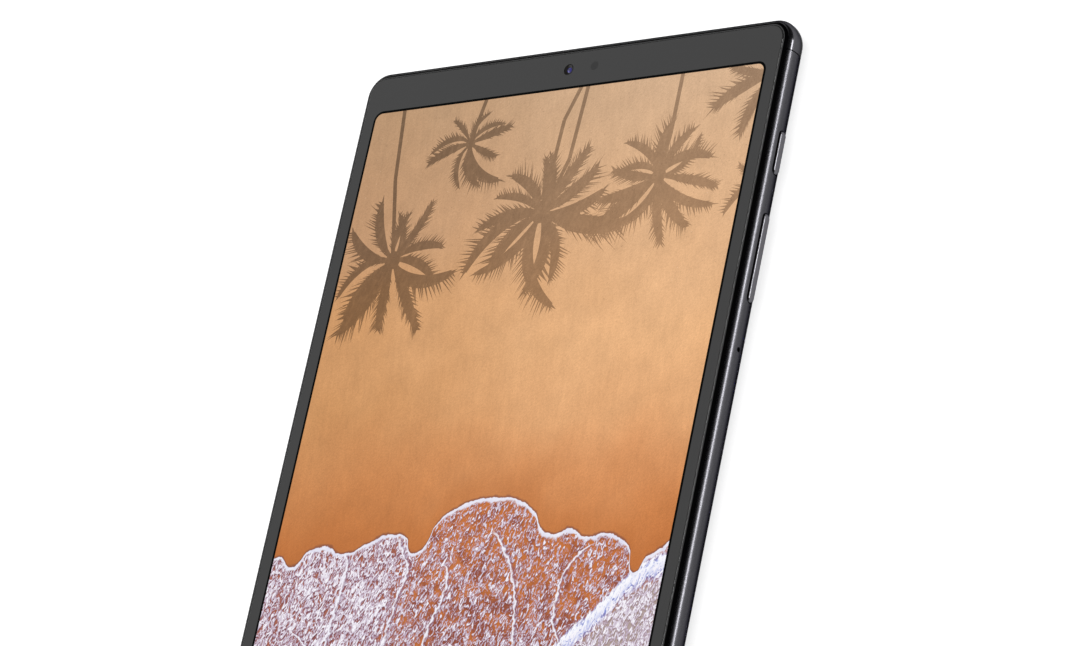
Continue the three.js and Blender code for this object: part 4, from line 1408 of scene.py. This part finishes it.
def make_screws(name, prefix, steel):
    """A set of screws, all of one length, each turned by chance."""
    nodes = sorted(node for node in frame["nodes"] if node.startswith(prefix))
    low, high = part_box(nodes[0])
    pattern = bpy.data.objects.new("pattern", screw_mesh(high.z - low.z))
    bpy.context.scene.collection.objects.link(pattern)
    growth = Growth("screw_set", {"Screw": pattern, "Seed": 5, "Material": steel})
    screw = growth.node("GeometryNodeObjectInfo", inputs={"Object": growth.given("Screw")},
                        output="Geometry")
    turn = growth.node("FunctionNodeRandomValue", {"data_type": "FLOAT"}, {
        "Min": 0.0, "Max": math.pi, "Seed": growth.given("Seed")}, output=1)
    screws = growth.node("GeometryNodeInstanceOnPoints", inputs={
        "Points": growth.given("Geometry"), "Instance": screw,
        "Rotation": vector_of(growth, 0.0, 0.0, turn)})
    places = []
    for node in nodes:
        centre = centre_of(node)
        places.append((centre.x, centre.y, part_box(node)[0].z))
    mesh = growth.grow(screws, points_mesh(places))
    bpy.data.objects.remove(pattern)
    piece(name, mesh, steel, stands_for=nodes, sharp=30)


def finish_inside(steel):
    """Finishes for the CAD nodes that keep their shape, by their slot in the record."""
    finishes = {
        "moulding": moulded("dark_moulding", (0.02, 0.02, 0.022, 1)),
        "port_steel": steel,
        "sheet_metal": brushed_sheet("pressed_sheet", (0.42, 0.42, 0.43, 1)),
        "board": circuit_board(),
        "polyimide": moulded("amber_film", (0.45, 0.16, 0.02, 1), 0.35),
        "battery_pouch": moulded("pouch_foil", (0.03, 0.03, 0.034, 1), 0.42, 0.6 * MM),
        "film": moulded("diffuser_film", (0.7, 0.71, 0.72, 1), 0.3, 0.1 * MM),
        "graphite": moulded("graphite_foil", (0.035, 0.035, 0.038, 1), 0.45, 0.4 * MM),
        "rubber": moulded("adhesive_foam", (0.01, 0.01, 0.011, 1), 0.85),
    }
    slots = {part["node"]: part["material_slot"] for part in frame["record"]["subparts"]}
    for name, node in frame["nodes"].items():
        if node.hide_render:
            continue
        for holder in node.material_slots:
            holder.material = finishes[slots[name]]


# ---------- stage ----------

CAMERA_PLACE = (0.64496, -0.31034, 0.70913)
CAMERA_RIGHT = Vector((0.77207, 0.19706, -0.60421))
CAMERA_FORWARD = Vector((-0.63158, 0.34387, -0.69489))
CAMERA_LENS = 152.0             # millimetres, as the sensor's width
CAMERA_SENSOR = 36.0
CAMERA_SIGHT = 20.0             # how far the camera sees
WHITE = (1, 1, 1, 1)
CARD_BLACK = (0.012, 0.012, 0.013, 1)
FLOOR_HALF = 4.0
FLOOR_WHITE = (0.8, 0.8, 0.8, 1)
FLOOR_GLOW = 0.74               # keeps the floor as white as the surround
STRIP = {"place": (0.9, 0.3, 0.095), "aim": (0.06, 0.3, 0.095), "size": (0.5, 0.15), "power": 5.4}
FILL = {"place": (0, 0, 3.0), "aim": (0, 0, 0), "size": (4.0, 4.0), "power": 62}


def make_camera():
    """A long lens that looks down on the top right part of the screen."""
    up = CAMERA_RIGHT.cross(CAMERA_FORWARD)
    turn = Matrix((CAMERA_RIGHT, up, -CAMERA_FORWARD)).transposed().to_4x4()
    camera = bpy.data.objects.new("camera", bpy.data.cameras.new("camera"))
    camera.data.lens = CAMERA_LENS
    camera.data.sensor_width = CAMERA_SENSOR
    camera.data.clip_end = CAMERA_SIGHT
    camera.matrix_world = Matrix.Translation(CAMERA_PLACE) @ turn
    bpy.context.scene.collection.objects.link(camera)
    bpy.context.scene.camera = camera


def make_surround():
    """A white surround, with dark cards that only reflections see: overhead, behind and low."""
    world = bpy.data.worlds.new("surround")
    world.use_nodes = True
    surround = Network(world.node_tree)
    way = surround.node("ShaderNodeTexCoord", output="Generated")
    x, y, z = (surround.node("ShaderNodeSeparateXYZ", inputs=[way], output=axis) for axis in "XYZ")
    seen = surround.node("ShaderNodeLightPath", output="Is Camera Ray")
    overhead = x.step(-0.52, -0.3) * z.step(0.3, 0.46)
    behind = y.step(0.42, 0.52) * (1 - z.step(0.5, 0.6))
    low = 1 - z.step(0.3, 0.42)
    card = overhead.math("MAXIMUM", behind).math("MAXIMUM", low) * (1 - seen)
    light = surround.blend(card, WHITE, CARD_BLACK)
    background = surround.node("ShaderNodeBackground", inputs={"Color": light, "Strength": 1.0})
    surround.end("ShaderNodeOutputWorld", background)
    bpy.context.scene.world = world


def make_floor():
    """A plain white floor that the tablet lies on."""
    half = FLOOR_HALF
    corners = [(-half, -half, 0), (half, -half, 0), (half, half, 0), (-half, half, 0)]
    form = bmesh.new()
    form.faces.new([form.verts.new(corner) for corner in corners])
    mesh = bpy.data.meshes.new("floor")
    form.to_mesh(mesh)
    form.free()
    finish = Finish("white_floor")
    mesh.materials.append(finish.surface(
        base_color=FLOOR_WHITE, roughness=0.9, specular_ior_level=0.0, emission_color=WHITE,
        emission_strength=FLOOR_GLOW))
    floor = bpy.data.objects.new("floor", mesh)
    bpy.context.scene.collection.objects.link(floor)


def soft_light(name, place, aim, size, power):
    data = bpy.data.lights.new(name, "AREA")
    data.shape = "RECTANGLE"
    data.size, data.size_y = size
    data.energy = power
    light = bpy.data.objects.new(name, data)
    light.location = place
    light.rotation_euler = (Vector(aim) - Vector(place)).to_track_quat("-Z", "Y").to_euler()
    bpy.context.scene.collection.objects.link(light)
    return light


def make_lights():
    """A strip low on the right for the edges, and an overhead fill that leaves no reflection."""
    soft_light("right_strip", **STRIP)
    fill = soft_light("overhead_fill", **FILL)
    fill.visible_glossy = False


# ---------- everything, in order ----------

def make_stage():
    make_camera()
    bpy.context.scene.view_settings.view_transform = "Standard"
    make_surround()
    make_floor()
    make_lights()


def make_front():
    """The rim, the printed glass and the lit display."""
    make_rim(
        rim_plastic("rim_black", (0.001, 0.001, 0.0011, 1), 0.08),
        # a paler copy of the black plastic: the painted highlight along the glass
        rim_plastic("rim_seam", (0.03, 0.03, 0.031, 1), 0.6))
    make_glass(
        printed_glass("border_print", (0.0148, 0.0148, 0.0148, 1)),
        printed_glass("black_margin", (0.0004, 0.0004, 0.0004, 1), 0.02),
        printed_glass("sensor_print", (0.006, 0.006, 0.0065, 1), 0.4))
    make_display(screen_picture())


def make_cameras(metal):
    """The front camera below the glass, and the rear camera in its metal ring."""
    front = (*FRONT_CAMERA, FRONT - 0.2 * MM)
    make_front_camera(
        moulded("camera_barrel", (0.02, 0.018, 0.017, 1), 0.3),
        lens_glass("front_lens", srgb(96, 92, 190), srgb(22, 20, 60), front, 0.65 * MM))
    rear = (*REAR_CAMERA, 0.8 * MM)
    make_rear_camera(
        metal,
        printed_glass("rear_window", (0.002, 0.002, 0.0022, 1), 0.12),
        moulded("rear_barrel", (0.012, 0.012, 0.013, 1), 0.35),
        lens_glass("rear_lens", srgb(60, 66, 120), srgb(16, 18, 44), rear, 1.2 * MM))


def make_ports(steel):
    """The USB and headphone sockets, and the screens behind the speakers' grilles."""
    black = moulded("port_black", (0.012, 0.012, 0.013, 1))
    gold = brushed_sheet("contact_gold", (0.65, 0.43, 0.14, 1), 0.25)
    make_usb(steel, black, gold)
    make_jack(black, gold)
    make_speaker_mesh("top_grille_mesh", "top_speaker_mesh", 1, steel)
    make_speaker_mesh("bottom_grille_mesh", "bottom_speaker_mesh", -1, steel)


def make_tablet():
    """All the pieces of the tablet."""
    metal = key_metal()
    steel = brushed_sheet("port_steel", (0.5, 0.5, 0.51, 1), 0.28)
    make_back_shell(shell_metal())
    make_end_cap(cap_plastic())
    make_front()
    for key in KEY_LENGTHS:
        make_key(key, metal)
    make_cameras(metal)
    make_microphone_felt(
        moulded("black_felt", (0.006, 0.006, 0.006, 1), 0.95, 0.12 * MM, 0.02 * MM))
    make_card_tray(metal)
    make_ports(steel)
    for screws in ("plate_screw", "board_screw", "sub_board_screw"):
        make_screws(screws + "s", screws + "_", steel)
    finish_inside(steel)


make_stage()
make_tablet()
